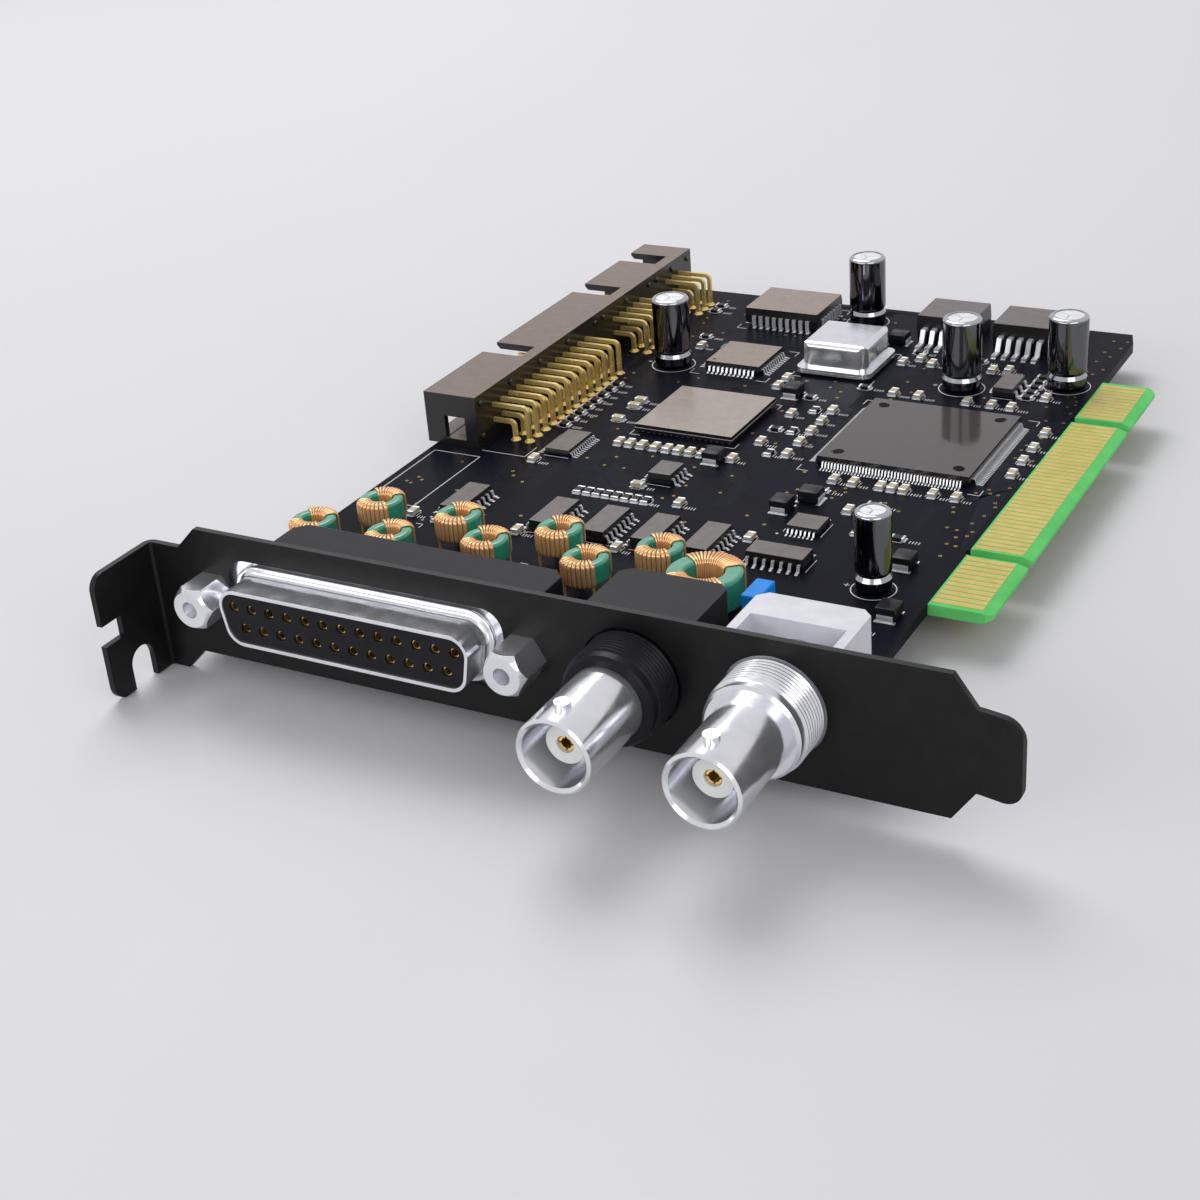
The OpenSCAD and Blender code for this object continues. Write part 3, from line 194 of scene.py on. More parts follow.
def glazed(name, color, other, rough):
    """Painted core under a clear coat."""
    m = Maker(name, color, rough, Coat_Weight=1.0, Coat_Roughness=0.06)
    m.vary(color, other, 420)
    m.rough(rough - 0.04, rough + 0.06, 500)
    m.grain(500, 0.00001)
    return m.mat


def sleeve_material():
    """Dark mirror sleeve with painted highlights: painted bright where it faces up, on the rim and on the
    shoulder of the neck.
    """
    m = Maker("sleeve_black", (0.10, 0.10, 0.11), 0.08, 1.0)
    m.paint_top_light((0.50, 0.51, 0.54), (0.130, 0.133, 0.145), 0.15, 0.6)
    m.rough(0.05, 0.14, 300)
    m.grain(500, 0.000006)
    return m.mat


def board_material():
    """Near-black mask, and green on the edge connector's tongue."""
    m = Maker("board_mask", (0.008, 0.009, 0.015), 0.3, Specular_IOR_Level=0.025)
    sep = m.add("ShaderNodeSeparateXYZ")
    m.link(m.coord, "Object", sep, "Vector")
    edge = m.remap(sep, "X", 0, 1, 0.09285, 0.0929)
    mask_spots = m.remap(m.noise(90, 5), "Fac", 0, 1, 0.35, 0.65)
    mask = m.mix(mask_spots, (0.0065, 0.007, 0.012), (0.0095, 0.0105, 0.017))
    green_spots = m.remap(m.noise(300), "Fac", 0, 1, 0.3, 0.7)
    green = m.mix(green_spots, (0.13, 0.62, 0.16), (0.17, 0.70, 0.20))
    m.color(m.mix(edge, mask, green))
    m.rough(0.24, 0.36, 260)
    m.grain(2200, 0.000003)
    return m.mat


BLACK = (0.010, 0.010, 0.011)
# Every material by a short name
M = {
    "bracket": moulded("bracket_black", (0.0070, 0.0070, 0.0068), (0.0095, 0.0095, 0.0092),
                       0.38, 2600, 0.000004, 0.22),
    "board": board_material(),
    "gold": plated("gold", (0.86, 0.62, 0.22), (0.93, 0.71, 0.30), 0.26),
    "finger": moulded("finger_gold", (0.62, 0.46, 0.11), (0.70, 0.53, 0.15), 0.4, 1800, 0.000002),
    "pin": plated("pin_gold", (0.86, 0.63, 0.20), (0.93, 0.72, 0.30), 0.22, 260, 0.6),
    "nickel": plated("nickel", (0.78, 0.79, 0.83), (0.86, 0.87, 0.90), 0.16, 260, 0.85),
    "tin": plated("tin", (0.78, 0.79, 0.81), (0.86, 0.87, 0.89), 0.2, 260, 0.5),
    "dark": moulded("black_plastic", (0.011, 0.011, 0.014), (0.014, 0.014, 0.018), 0.3, spec=0.12),
    # Header tops: painted sheen, paler and browner than their black sides, standing in for a warm reflection.
    "header": painted_sheen_top("header_plastic", (0.180, 0.128, 0.098), (0.210, 0.155, 0.123), BLACK, 0.24),
    "white": moulded("white_plastic", (0.70, 0.70, 0.76), (0.78, 0.78, 0.84), 0.3, 1400, 0.000006),
    "insulator": moulded("insulator_white", (0.78, 0.78, 0.76), (0.84, 0.84, 0.82), 0.4),
    "core": glazed("green_core", (0.03, 0.31, 0.185), (0.045, 0.37, 0.235), 0.3),
    "copper": plated("copper_wire", (0.94, 0.49, 0.21), (0.98, 0.60, 0.31), 0.2, 400, 0.5),
    "can": plated("aluminium", (0.86, 0.87, 0.89), (0.92, 0.93, 0.94), 0.3, 260, 0.5),
    "sleeve": sleeve_material(),
    "rubber": moulded("bung_rubber", (0.03, 0.03, 0.03), (0.05, 0.05, 0.05), 0.6),
    # Chip tops below: painted sheen, paler than their black sides, standing in for a warm reflection.
    "chip": painted_sheen_top("chip_plastic", (0.118, 0.102, 0.096), (0.160, 0.140, 0.131), BLACK, 0.3),
    "warm": painted_sheen_top("warm_sheen_plastic", (0.285, 0.222, 0.182), (0.325, 0.258, 0.215), BLACK, 0.28),
    "lid": painted_sheen_top("lid_plastic", (0.380, 0.325, 0.283), (0.420, 0.362, 0.317), BLACK, 0.2),
    "flat": painted_sheen_top("flat_plastic", (0.052, 0.044, 0.040), (0.062, 0.053, 0.048), BLACK, 0.09, 0.75),
    "blue": moulded("blue_plastic", (0.004, 0.27, 0.90), (0.006, 0.31, 0.95), 0.3, spec=0.2),
    "tan": moulded("ceramic_tan", (0.46, 0.40, 0.27), (0.58, 0.52, 0.37), 0.4),
    "resistor": moulded("resistor_black", (0.008, 0.008, 0.009), (0.013, 0.013, 0.014), 0.3, spec=0.2),
    "hole": moulded("mark_black", (0.003, 0.003, 0.003), (0.005, 0.005, 0.005), 0.5, spec=0.05),
    "print": moulded("white_print", (0.66, 0.66, 0.68), (0.76, 0.76, 0.78), 0.55, 1500, 0.000001),
    "track": moulded("covered_copper", (0.0125, 0.014, 0.023), (0.016, 0.018, 0.028),
                     0.3, 1500, 0.000001, 0.03),
    "via": plated("dull_gold", (0.30, 0.21, 0.06), (0.38, 0.28, 0.09), 0.4),
}
# The material of each CAD node
LOOK = {
    "slot_bracket": "bracket", "circuit_board": "board", "edge_contacts": "finger", "dsub_shell": "nickel",
    "dsub_socket_block": "dark", "dsub_contacts": "gold", "dsub_rear_housing": "dark",
    "dsub_mounting_plate": "tin", "jack_screws": "nickel", "bnc_in_housing": "dark",
    "bnc_in_barrel": "nickel", "bnc_in_insulator": "insulator", "bnc_in_contact": "gold",
    "bnc_out_housing": "white", "bnc_out_barrel": "nickel", "bnc_out_insulator": "insulator",
    "bnc_out_contact": "gold", "header_26_housing": "header", "header_26_pins": "pin",
    "header_10_housing": "header", "header_10_pins": "pin", "header_6_housing": "header",
    "header_6_pins": "pin", "toroid_cores": "core", "toroid_windings": "copper",
    "large_toroid_core": "core", "large_toroid_winding": "copper", "large_toroid_base": "dark",
    "capacitor_cans": "can", "capacitor_sleeves": "sleeve", "capacitor_bungs": "rubber",
    "capacitor_leads": "tin", "grid_chip_body": "lid", "grid_chip_balls": "tin", "bus_chip_body": "flat",
    "bus_chip_leads": "tin", "logic_chip_body": "warm", "logic_chip_leads": "tin",
    "memory_chip_body": "warm", "memory_chip_leads": "tin", "line_driver_bodies": "chip",
    "line_driver_leads": "tin", "buffer_chip_bodies": "chip", "buffer_chip_leads": "tin",
    "small_chip_bodies": "chip", "small_chip_leads": "tin", "regulator_bodies": "chip",
    "regulator_tabs": "tin", "regulator_leads": "tin", "oscillator_can": "nickel",
    "oscillator_base": "nickel", "jumper_base": "dark", "jumper_pins": "gold", "jumper_cap": "blue",
    "chip_capacitors": "tan", "chip_resistors": "resistor", "moulded_capacitors": "resistor",
    "solder_joints": "tin",
}


def paint(obj, mat):
    if obj.material_slots:
        for s in obj.material_slots:
            s.material = mat
    else:
        obj.data.materials.append(mat)


for name, obj in nodes.items():
    paint(obj, M[LOOK[name]])


# Helpers for the pieces that are made here
def finish_mesh(name, bm, mats, replaced=(), smooth=30):
    """Turns a bmesh in metres into a piece that rides with the card."""
    bmesh.ops.recalc_face_normals(bm, faces=bm.faces)
    mesh = bpy.data.meshes.new(name)
    bm.to_mesh(mesh)
    bm.free()
    obj = bpy.data.objects.new(name, mesh)
    scene.collection.objects.link(obj)
    for m in mats:
        mesh.materials.append(m)
    if smooth:
        mesh.shade_smooth()
        mesh.set_sharp_from_angle(angle=math.radians(smooth))
    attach(obj, "root")
    if replaced:
        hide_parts(*replaced)


def islands(name):
    """Low and high corners of each separate solid of a node, in card millimetres."""
    mesh = nodes[name].data
    key, parent = {}, []

    def find(i):
        while parent[i] != i:
            parent[i] = parent[parent[i]]
            i = parent[i]
        return i

    ids = []
    for v in mesh.vertices:
        k = tuple(round(c * 1e6) for c in v.co)
        if k not in key:
            key[k] = len(parent)
            parent.append(len(parent))
        ids.append(key[k])
    for poly in mesh.polygons:
        first = find(ids[poly.vertices[0]])
        for i in poly.vertices[1:]:
            parent[find(ids[i])] = first
    boxes = {}
    for v, i in zip(mesh.vertices, ids):
        c = v.co * 1000 - Vector((0, TO_FACE, -TAB_MID))
        lo_hi = boxes.setdefault(find(i), [c.copy(), c.copy()])
        for axis in range(3):
            lo_hi[0][axis] = min(lo_hi[0][axis], c[axis])
            lo_hi[1][axis] = max(lo_hi[1][axis], c[axis])
    return sorted(boxes.values(), key=lambda b: tuple(b[0]))


def long_axis(low, high):
    return 0 if high.x - low.x > high.y - low.y else 1


def block(bm, low, high, mat=0, bevel=0.0):
    """Box between two corners in card millimetres, with rounded edges."""
    made = bmesh.ops.create_cube(bm, size=1)["verts"]
    mid = (Vector(low) + Vector(high)) / 2
    size = Vector(high) - Vector(low)
    for v in made:
        v.co = card(*(mid[i] + v.co[i] * size[i] for i in range(3)))
    faces = {f for v in made for f in v.link_faces}
    for f in faces:
        f.material_index = mat
    if bevel:
        edges = {e for v in made for e in v.link_edges}
        out = bmesh.ops.bevel(bm, geom=list(edges), offset=bevel / 1000, segments=2, affect="EDGES",
                              profile=0.5)
        for f in out["faces"]:
            f.material_index = mat


def strip(bm, p, q, width, low, high, mat=0):
    """Flat bar on the board between two points, in card millimetres."""
    p, q = Vector(p), Vector(q)
    along = (q - p).normalized()
    side = Vector((-along.y, along.x)) * width / 2
    ends = [p - side, q - side, q + side, p + side]
    top = [bm.verts.new(card(c.x, c.y, high)) for c in ends]
    base = [bm.verts.new(card(c.x, c.y, low)) for c in ends]
    faces = [bm.faces.new(top)]
    faces += [bm.faces.new((base[i], base[(i + 1) % 4], top[(i + 1) % 4], top[i])) for i in range(4)]
    for f in faces:
        f.material_index = mat


def circle(bm, centre, r, height, n):
    """New vertices on a level circle, in card millimetres."""
    x, y = centre[0], centre[1]
    angles = [2 * math.pi * i / n for i in range(n)]
    return [bm.verts.new(card(x + r * math.cos(t), y + r * math.sin(t), height)) for t in angles]


def ring_flat(bm, centre, inner, outer, height, n):
    loops = [circle(bm, centre, r, height, n) for r in (inner, outer)]
    for i in range(n):
        j = (i + 1) % n
        bm.faces.new((loops[0][i], loops[1][i], loops[1][j], loops[0][j]))


def disc(bm, centre, r, height, n=10, mat=0):
    f = bm.faces.new(circle(bm, centre, r, height, n))
    f.material_index = mat


# Rounded edges on the pieces whose shape comes from the CAD
WELD = 0.000002


def soften(name, width, segments=2, angle=35):
    """Edge bevel of a width in millimetres, where faces meet at more than angle."""
    obj = nodes[name]
    weld = obj.modifiers.new("weld", "WELD")
    weld.merge_threshold = WELD
    m = obj.modifiers.new("edges", "BEVEL")
    m.width = width / 1000
    m.segments = segments
    m.limit_method = "ANGLE"
    m.angle_limit = math.radians(angle)
    m.use_clamp_overlap = True


SOFT = {"slot_bracket": 0.05, "bnc_in_housing": 0.12, "bnc_out_housing": 0.45, "header_26_housing": 0.12,
        "header_10_housing": 0.12, "header_6_housing": 0.12, "dsub_rear_housing": 0.12, "grid_chip_body": 0.06,
        "memory_chip_body": 0.12, "regulator_bodies": 0.1, "line_driver_bodies": 0.07, "bus_chip_body": 0.08,
        "logic_chip_body": 0.07, "jumper_cap": 0.25, "jumper_base": 0.12, "large_toroid_base": 0.15,
        "oscillator_base": 0.1, "jack_screws": 0.12, "small_chip_bodies": 0.07, "buffer_chip_bodies": 0.06}
for name, width in SOFT.items():
    soften(name, width)


# Chip capacitors and resistors: body and wrapped metal ends
def chips(name, node, body, round_edge):
    """Body and two metal ends of each chip; wrap is how far the metal reaches over the body."""
    bm = bmesh.new()
    wrap, inset = 0.36, 0.03
    body_from = wrap * 0.7
    for low, high in islands(node):
        along = long_axis(low, high)
        b_low, b_high = low.copy(), high.copy()
        b_low[along] += body_from
        b_high[along] -= body_from
        across = 1 - along
        b_low[across] += inset
        b_high[across] -= inset
        b_low.z += inset
        b_high.z -= inset
        block(bm, b_low, b_high, 0)
        for side in (0, 1):
            e_low, e_high = low.copy(), high.copy()
            if side:
                e_low[along] = high[along] - wrap
            else:
                e_high[along] = low[along] + wrap
            block(bm, e_low, e_high, 1, round_edge)
    finish_mesh(name, bm, [body, M["tin"]], [node])


chips("chip_capacitor_parts", "chip_capacitors", M["tan"], 0.1)
chips("chip_resistor_parts", "chip_resistors", M["resistor"], 0.06)


def moulded_parts():
    """Body and tape ends of the moulded capacitors."""
    bm = bmesh.new()
    end_gap, foot, tape_half, tape = 0.2, 0.12, 1.1, 0.22
    for low, high in islands("moulded_capacitors"):
        along = long_axis(low, high)
        b_low, b_high = low.copy(), high.copy()
        b_low[along] += end_gap
        b_high[along] -= end_gap
        b_low.z += foot
        block(bm, b_low, b_high, 0, 0.16)
        mid = (low[1 - along] + high[1 - along]) / 2
        for side in (0, 1):
            t_low, t_high = low.copy(), high.copy()
            t_low[1 - along], t_high[1 - along] = mid - tape_half, mid + tape_half
            t_high.z = (low.z + high.z) / 2
            if side:
                t_low[along] = high[along] - tape
            else:
                t_high[along] = low[along] + tape
            block(bm, t_low, t_high, 1, 0.04)
    finish_mesh("moulded_capacitor_parts", bm, [M["resistor"], M["tin"]],
                ["moulded_capacitors"])


moulded_parts()


# Windings: wire that lies side by side in the bore and fans out to the rim
STRAND, STRAND_GAP, FIT, CORE_ROUND = 0.28, 0.01, 0.03, 0.5
SIDES, FILL, ROUNDER, LEAN = 8, 0.86, 0.3, 0.08
LEAD_R, LEAD_IN, LEAD_UP = 0.24, 0.1, 0.2


def section_path(width, height, r, steps=4):
    """Points round a rounded rectangle, with the outward normal at each."""
    out = []
    x, z = width / 2 - r, height / 2 - r
    for cx, cz, start in ((x, z, 0), (-x, z, 90), (-x, -z, 180), (x, -z, 270)):
        for i in range(steps + 1):
            t = math.radians(start + 90 * i / steps)
            out.append((cx + r * math.cos(t), cz + r * math.sin(t), math.cos(t), math.sin(t)))
    return out


def tube(bm, rings):
    """Closed tube through rings of points in metres."""
    loops = [[bm.verts.new(p) for p in ring] for ring in rings]
    for a in range(len(loops)):
        b = (a + 1) % len(loops)
        n = len(loops[a])
        for i in range(n):
            j = (i + 1) % n
            bm.faces.new((loops[a][i], loops[b][i], loops[b][j], loops[a][j]))


def pole(bm, x, y, low, high, r):
    loops = [circle(bm, (x, y), r, z, SIDES) for z in (low, high)]
    for i in range(SIDES):
        j = (i + 1) % SIDES
        bm.faces.new((loops[0][i], loops[0][j], loops[1][j], loops[1][i]))
    bm.faces.new(loops[1])


def coils(name, core_node, winding_node, bore, turns, lead_low):
    """Two groups of turns on each core; lead_low is the height where the leads end."""
    bm = bmesh.new()
    half = STRAND / 2
    step = (STRAND + STRAND_GAP) / (bore / 2 - FIT - half)
    for low, high in islands(core_node):
        centre = (low + high) / 2
        d, h = high.x - low.x, high.z - low.z
        ring_mid = (d + bore) / 4
        reach = d / 2 - LEAD_IN
        path = section_path((d - bore) / 2 + 2 * FIT + STRAND, h + STRAND, CORE_ROUND + half)
        for side in (0, 1):
            for i in range(turns):
                base = math.pi / 2 + side * math.pi + (i - (turns - 1) / 2) * step
                rings = []
                for px, pz, nx, nz in path:
                    rho = ring_mid + px
                    a = base + LEAN * step * nx
                    u = Vector((math.cos(a), math.sin(a)))
                    t = Vector((-u.y, u.x))
                    wide = max(half, 0.5 * rho * step * FILL)
                    thick = half + ROUNDER * (wide - half)
                    ring = []
                    for k in range(SIDES):
                        q = 2 * math.pi * k / SIDES
                        along = math.cos(q) * wide
                        out = math.sin(q) * thick + thick - half
                        xy = u * (rho + out * nx) + t * along
                        ring.append(card(centre.x + xy.x, centre.y + xy.y, centre.z + pz + out * nz))
                    rings.append(ring)
                tube(bm, rings)
                if i in (0, turns - 1):
                    pole(bm, centre.x + reach * math.cos(base), centre.y + reach * math.sin(base),
                         lead_low, low.z + LEAD_UP, LEAD_R)
    finish_mesh(name, bm, [M["copper"]], [winding_node], smooth=60)


coils("toroid_turns", "toroid_cores", "toroid_windings", 3.3, 9, 0.0)
coils("large_toroid_turns", "large_toroid_core", "large_toroid_winding", 5.2, 16, 1.6)


# Drawn fillet and raised band at the root of the D-sub shell
def d_points(w, h, r, steps=8):
    """Outline of a D-sub shell, w by h, with sides that lean 10 degrees and corners of radius r."""
    lean = math.radians(10)
    top = w / 2 - r * math.tan(lean) - r / math.cos(lean)
    low_x = w / 2 - (h - r) * math.tan(lean) - r / math.cos(lean)
    y = h / 2 - r
    corners = ((low_x, -y, -90, -10), (top, y, -10, 90), (-top, y, 90, 190), (-low_x, -y, 190, 270))
    out = []
    for cx, cy, a0, a1 in corners:
        for i in range(steps + 1):
            t = math.radians(a0 + (a1 - a0) * i / steps)
            out.append((cx + r * math.cos(t), cy + r * math.sin(t)))
    return out


def shell_root():
    """Each point of the profile is how far it stands out from the shell, and how far behind the face."""
    dsub_x, dsub_z, shell_w, shell_h, shell_r = 33.4, 6.74, 38.38, 7.9, 2.6
    clear, fillet, band = 0.03, 0.75, 0.28
    fillet_y, band_grow, band_y = -1.05, 0.85, -0.02
    bm = bmesh.new()
    profile = [(clear, -1.5)]
    for i in range(7):
        t = math.radians(90 * i / 6)
        profile.append((clear + fillet * (1 - math.cos(t)), fillet_y + fillet * math.sin(t)))
    for i in range(5):
        t = math.radians(90 * i / 4)
        profile.append((band_grow + band * math.sin(t), band_y - band * math.cos(t)))
    profile.append((band_grow + band, 0.5))
    loops = []
    for grow, y in profile:
        pts = d_points(shell_w + 2 * grow, shell_h + 2 * grow, shell_r + grow)
        loops.append([bm.verts.new(card(dsub_x + x, y, dsub_z + z)) for x, z in pts])
    for a, b in zip(loops, loops[1:]):
        n = len(a)
        for i in range(n):
            j = (i + 1) % n
            bm.faces.new((a[i], a[j], b[j], b[i]))
    finish_mesh("dsub_shell_root", bm, [M["nickel"]], smooth=50)


shell_root()
soften("dsub_shell", 0.2, 3, 50)

# Solder pads under leads and chips: height, then how far they reach past a lead or a chip's end
PAD_H, TOE, CHIP_TOE, CHIP_HEEL, PAD_SIDE = 0.03, 0.3, 0.22, 0.45, 0.05
HEEL_SHARE, J_LEAD = 0.4, 0.7
LEADS = {"bus_chip_leads": "bus_chip_body", "logic_chip_leads": "logic_chip_body",
         "line_driver_leads": "line_driver_bodies", "buffer_chip_leads": "buffer_chip_bodies",
         "small_chip_leads": "small_chip_bodies", "regulator_leads": "regulator_bodies",
         "memory_chip_leads": "memory_chip_body"}


def pads():
    bm = bmesh.new()
    for leads, bodies in LEADS.items():
        centres = [(body[0] + body[1]) / 2 for body in islands(bodies)]
        for low, high in islands(leads):
            mid = (low + high) / 2
            near = min(centres, key=lambda c: (c - mid).length)
            away = mid - near
            along = long_axis(low, high)
            if leads == "memory_chip_leads":
                along = 0 if high.y - low.y < J_LEAD < high.x - low.x else 1
            p_low, p_high = low.copy(), high.copy()
            heel = HEEL_SHARE * (high[along] - low[along])
            if away[along] > 0:
                p_low[along] += heel
                p_high[along] += TOE
            else:
                p_high[along] -= heel
                p_low[along] -= TOE
            p_low.z, p_high.z = 0.0, PAD_H
            block(bm, p_low, p_high)
    for node in ("chip_capacitors", "chip_resistors", "moulded_capacitors"):
        for low, high in islands(node):
            along = long_axis(low, high)
            for side in (0, 1):
                p_low, p_high = low.copy(), high.copy()
                if side:
                    p_low[along] = high[along] - CHIP_HEEL
                    p_high[along] = high[along] + CHIP_TOE
                else:
                    p_high[along] = low[along] + CHIP_HEEL
                    p_low[along] = low[along] - CHIP_TOE
                p_low[1 - along] -= PAD_SIDE
                p_high[1 - along] += PAD_SIDE
                p_low.z, p_high.z = 0.0, PAD_H
                block(bm, p_low, p_high)
    finish_mesh("solder_pads", bm, [M["tin"]], smooth=0)


pads()


# White print: outlines, corner marks, ticks and rings, with no characters
def silkscreen():
    bm = bmesh.new()
    top, line, thin, thick = 0.015, 0.13, 0.1, 0.16
    beside, tick_gap, tick_lean, tick_long = 0.32, 0.45, 0.05, 0.75
    outside, dot_off, dot_r = 0.35, 0.9, 0.22
    ring_in, ring_out = 0.45, 0.62
    plus_near, plus_mid, plus_far, plus_half = 0.9, 1.3, 1.7, 0.4

    def mark(p, q, w=line):
        strip(bm, p, q, w, 0.0, top)

    def corners(low, high, grow, size):
        for sx in (-1, 1):
            for sy in (-1, 1):
                x = high.x + grow if sx > 0 else low.x - grow
                y = high.y + grow if sy > 0 else low.y - grow
                mark((x, y), (x - sx * size, y))
                mark((x, y), (x, y - sy * size))

    for node in ("chip_capacitors", "chip_resistors"):
        for n, (low, high) in enumerate(islands(node)):
            along = long_axis(low, high)
            for side in (low[1 - along] - beside, high[1 - along] + beside):
                a, b = low[along] + 0.2, high[along] - 0.2
                mark((a, side) if along == 0 else (side, a), (b, side) if along == 0 else (side, b), thin)
            x, y = high.x + 0.8, low.y - 0.1
            for k in range(3 + n % 2):
                mark((x + tick_gap * k, y), (x + tick_gap * k + tick_lean, y + tick_long))
    for node, grow in (("grid_chip_body", 0.6), ("bus_chip_body", 2.2), ("logic_chip_body", 2.0),
                       ("oscillator_base", 0.5), ("memory_chip_body", 1.1), ("large_toroid_base", 0.5)):
        for low, high in islands(node):
            corners(low, high, grow, 1.8)
    for node in ("line_driver_bodies", "buffer_chip_bodies", "small_chip_bodies"):
        for low, high in islands(node):
            long_y = high.y - low.y > high.x - low.x
            for side in (0, 1):
                if long_y:
                    y = high.y + outside if side else low.y - outside
                    mark((low.x, y), (high.x, y))
                else:
                    x = high.x + outside if side else low.x - outside
                    mark((x, low.y), (x, high.y))
            disc(bm, (low.x - dot_off, low.y - dot_off), dot_r, top)
    for low, high in islands("capacitor_sleeves"):
        c, r = (low + high) / 2, (high.x - low.x) / 2
        ring_flat(bm, c, r + ring_in, r + ring_out, top, 40)
        mark((c.x - r - plus_far, c.y), (c.x - r - plus_near, c.y))
        mark((c.x - r - plus_mid, c.y - plus_half), (c.x - r - plus_mid, c.y + plus_half))
    for low, high in islands("toroid_cores"):
        corners(low, high, 0.7, 1.2)
    low, high = islands("header_26_housing")[0]
    x, y = high.x + 8.2, low.y - 0.5
    mark((high.x + 0.4, y), (x, y))
    mark((x, y), (x, low.y + 3.2))
    box = ((3.2, 43.5), (11.5, 43.5), (11.5, 62.5), (3.2, 62.5))
    for i in range(4):
        mark(box[i], box[(i + 1) % 4], thick)
    finish_mesh("board_print", bm, [M["print"]], smooth=0)


# Vent grooves on the cans, and the four moulding dimples of the bus chip painted near-black as painted shade
def small_marks():
    bm = bmesh.new()
    film, groove, mark_in, mark_r = 0.006, 0.16, 2.6, 0.85
    for low, high in islands("capacitor_cans"):
        c, r = (low + high) / 2, (high.x - low.x) / 2
        for k in range(3):
            t = math.radians(120 * k + 15)
            end = (c.x + 0.6 * r * math.cos(t), c.y + 0.6 * r * math.sin(t))
            strip(bm, (c.x, c.y), end, groove, high.z, high.z + film)
    low, high = islands("bus_chip_body")[0]
    for x in (low.x + mark_in, high.x - mark_in):
        for y in (low.y + mark_in, high.y - mark_in):
            # Near-black discs: painted shade in the four shallow dimples.
            disc(bm, (x, y), mark_r, high.z + film, 28, 1)
    finish_mesh("vents_and_marks", bm, [M["tin"], M["hole"]], smooth=0)


# Copper under the mask, seen as faint raised tracks
def tracks():
    """Forty from the edge connector to the bus chip, then bundles that bend once."""
    bm = bmesh.new()
    rng = random.Random(11)
    width, film, pitch, fan = 0.17, 0.008, 0.42, 0.41
    bus_tracks, first_finger, finger_pitch, bundles = 40, 56, 1.27, 46
    far = islands("circuit_board")[0][1].y - 1.5

    def run(points):
        for p, q in zip(points, points[1:]):
            strip(bm, p, q, width, 0.0, film)

    bus = islands("bus_chip_body")[0]
    x1 = bus[1].x + 1.6
    for i in range(bus_tracks):
        y0 = first_finger + finger_pitch * i
        y1 = bus[0].y + 2 + (bus[1].y - bus[0].y - 4) * i / (bus_tracks - 1)
        slope = abs(y1 - y0)
        knee = max(x1 + 0.3, SHOULDER - 0.4 - slope)
        if knee + slope < SHOULDER:
            run([(SHOULDER, y0), (knee + slope, y0), (knee, y1), (x1, y1)])
        else:
            run([(SHOULDER, y0), (x1, y1)])
    for _ in range(bundles):
        n = rng.randint(3, 8)
        x, y = rng.uniform(10, 84), rng.uniform(40, 136)
        straight, slant = rng.uniform(5, 16), rng.uniform(3, 12)
        turn = rng.choice((-1, 1))
        for k in range(n):
            o = pitch * k
            bend = y + straight - o * turn * fan
            run([(x + o, y), (x + o, min(bend, far)),
                 (min(x + o + turn * slant, SHOULDER), min(bend + slant, far))])
    finish_mesh("board_tracks", bm, [M["track"]], smooth=0)


def vias():
    """Small plated holes on both sides: a group by the edge connector, the rest scattered clear of parts."""
    bm = bmesh.new()
    rng = random.Random(5)
    film, sunk, hole, inner, outer, spacing, beside = 0.02, 0.012, 0.14, 0.13, 0.26, 0.9, 0.5
    rows, first_row, row_pitch, scattered = 32, 61, 2.54, 240
    covered = [box for node in ("grid_chip_body", "bus_chip_body", "logic_chip_body", "memory_chip_body",
                                "oscillator_base", "line_driver_bodies", "capacitor_cans",
                                "regulator_bodies", "chip_capacitors", "chip_resistors",
                                "moulded_capacitors", "toroid_cores", "buffer_chip_bodies",
                                "small_chip_bodies", "large_toroid_base")
               for box in islands(node)]
    spots = []
    for row in range(rows):
        y = first_row + row_pitch * row
        for _ in range(rng.randint(1, 3)):
            spots.append((90.6 + rng.uniform(-1.6, 1.4), y + rng.uniform(-0.9, 0.9)))
    for _ in range(scattered):
        spots.append((rng.uniform(4, 91), rng.uniform(38, 141)))
    kept = []
    for x, y in spots:
        if any(low.x - beside < x < high.x + beside and low.y - beside < y < high.y + beside
               for low, high in covered):
            continue
        if any(abs(x - a) < spacing and abs(y - b) < spacing for a, b in kept):
            continue
        kept.append((x, y))
    for spot in kept:
        for height, up in ((film, 1), (-BOARD_T - film, -1)):
            ring_flat(bm, spot, inner, outer, height, 10)
            # Black disc a little below each ring: painted shade standing in for the dark of the hole.
            disc(bm, spot, hole, height - sunk * up, 8, 1)
    finish_mesh("board_vias", bm, [M["via"], M["resistor"]], smooth=0)


silkscreen()
small_marks()
tracks()
vias()


# Floor, world and lamps
BACKDROP = (0.74, 0.73, 0.755)
FLOOR_HALF, FLOOR_BELOW = 3, 0.0002
WORLD_COLOR, WORLD_LEVEL = (0.93, 0.93, 0.95), 0.42
floor_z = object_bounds()[0].z - FLOOR_BELOW
bm = bmesh.new()
for x, y in ((-1, -1), (1, -1), (1, 1), (-1, 1)):
    bm.verts.new((x * FLOOR_HALF, y * FLOOR_HALF, floor_z))
bm.faces.new(bm.verts)
floor_mesh = bpy.data.meshes.new("floor")
bm.to_mesh(floor_mesh)
bm.free()
floor = bpy.data.objects.new("floor", floor_mesh)
scene.collection.objects.link(floor)
floor_paint = Maker("floor_paint", BACKDROP, 0.6)
floor_paint.vary((0.73, 0.72, 0.745), (0.75, 0.74, 0.765), 3)
floor_paint.rough(0.55, 0.65, 20)
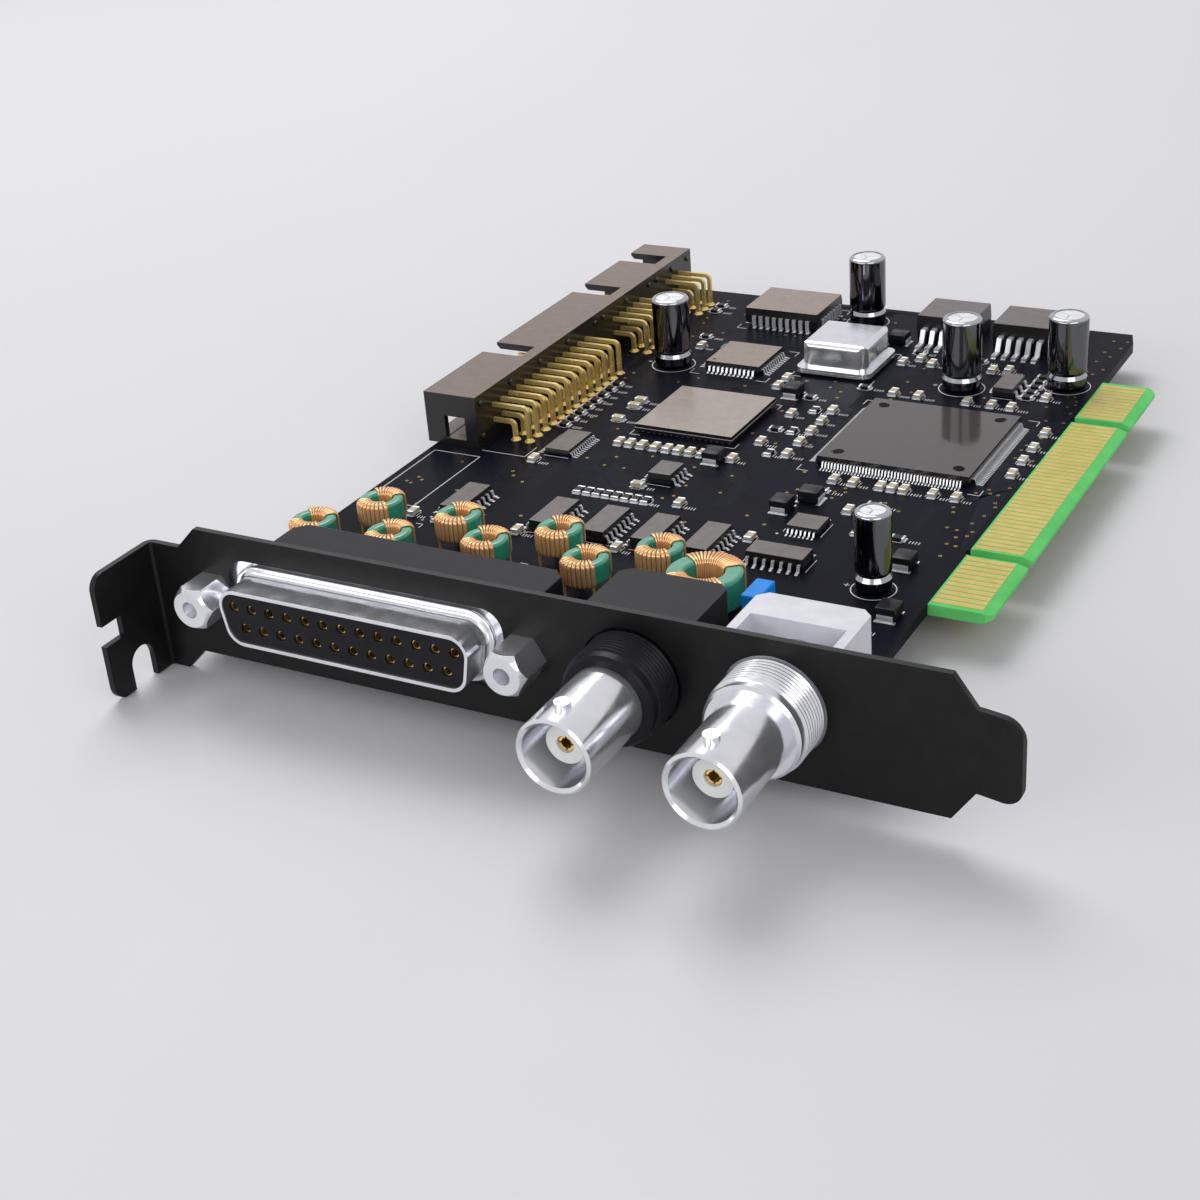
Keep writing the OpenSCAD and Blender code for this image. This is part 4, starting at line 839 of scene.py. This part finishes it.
paint(floor, floor_paint.mat)

# The world lights the card at a plain level, and the camera and the metal see the backdrop's colour
world = bpy.data.worlds.new("studio")
scene.world = world
world.use_nodes = True
tree = world.node_tree
light = tree.nodes["Background"]
light.inputs["Color"].default_value = (*WORLD_COLOR, 1)
light.inputs["Strength"].default_value = WORLD_LEVEL
seen = tree.nodes.new("ShaderNodeBackground")
seen.inputs["Color"].default_value = (*BACKDROP, 1)
seen.inputs["Strength"].default_value = 1.0
path = tree.nodes.new("ShaderNodeLightPath")
camera_or_glossy = tree.nodes.new("ShaderNodeMath")
camera_or_glossy.operation = "MAXIMUM"
is_seen = tree.nodes.new("ShaderNodeMath")
is_seen.operation = "MAXIMUM"
tree.links.new(path.outputs["Is Camera Ray"], camera_or_glossy.inputs[0])
tree.links.new(path.outputs["Is Glossy Ray"], camera_or_glossy.inputs[1])
tree.links.new(camera_or_glossy.outputs[0], is_seen.inputs[0])
tree.links.new(path.outputs["Is Transmission Ray"], is_seen.inputs[1])
choose = tree.nodes.new("ShaderNodeMixShader")
tree.links.new(is_seen.outputs[0], choose.inputs[0])
tree.links.new(light.outputs[0], choose.inputs[1])
tree.links.new(seen.outputs[0], choose.inputs[2])
tree.links.new(choose.outputs[0], tree.nodes["World Output"].inputs[0])


def lamp(name, place, size, power):
    """Soft rectangular lamp in metres and watts, aimed at the middle of the card."""
    light_data = bpy.data.lights.new(name, "AREA")
    light_data.shape = "RECTANGLE"
    light_data.size, light_data.size_y = size
    light_data.energy = power
    obj = bpy.data.objects.new(name, light_data)
    scene.collection.objects.link(obj)
    obj.location = place
    obj.rotation_mode = "QUATERNION"
    obj.rotation_quaternion = (Vector((0.05, 0.075, 0)) - Vector(place)).to_track_quat("-Z", "Y")


lamp("key", (-0.35, 0.45, 0.75), (0.6, 0.6), 4.6)
lamp("fill", (0.7, -0.5, 0.5), (0.7, 0.5), 2.0)
lamp("front", (-0.25, -0.7, 0.35), (0.8, 0.3), 1.8)

scene.view_settings.view_transform = "Standard"
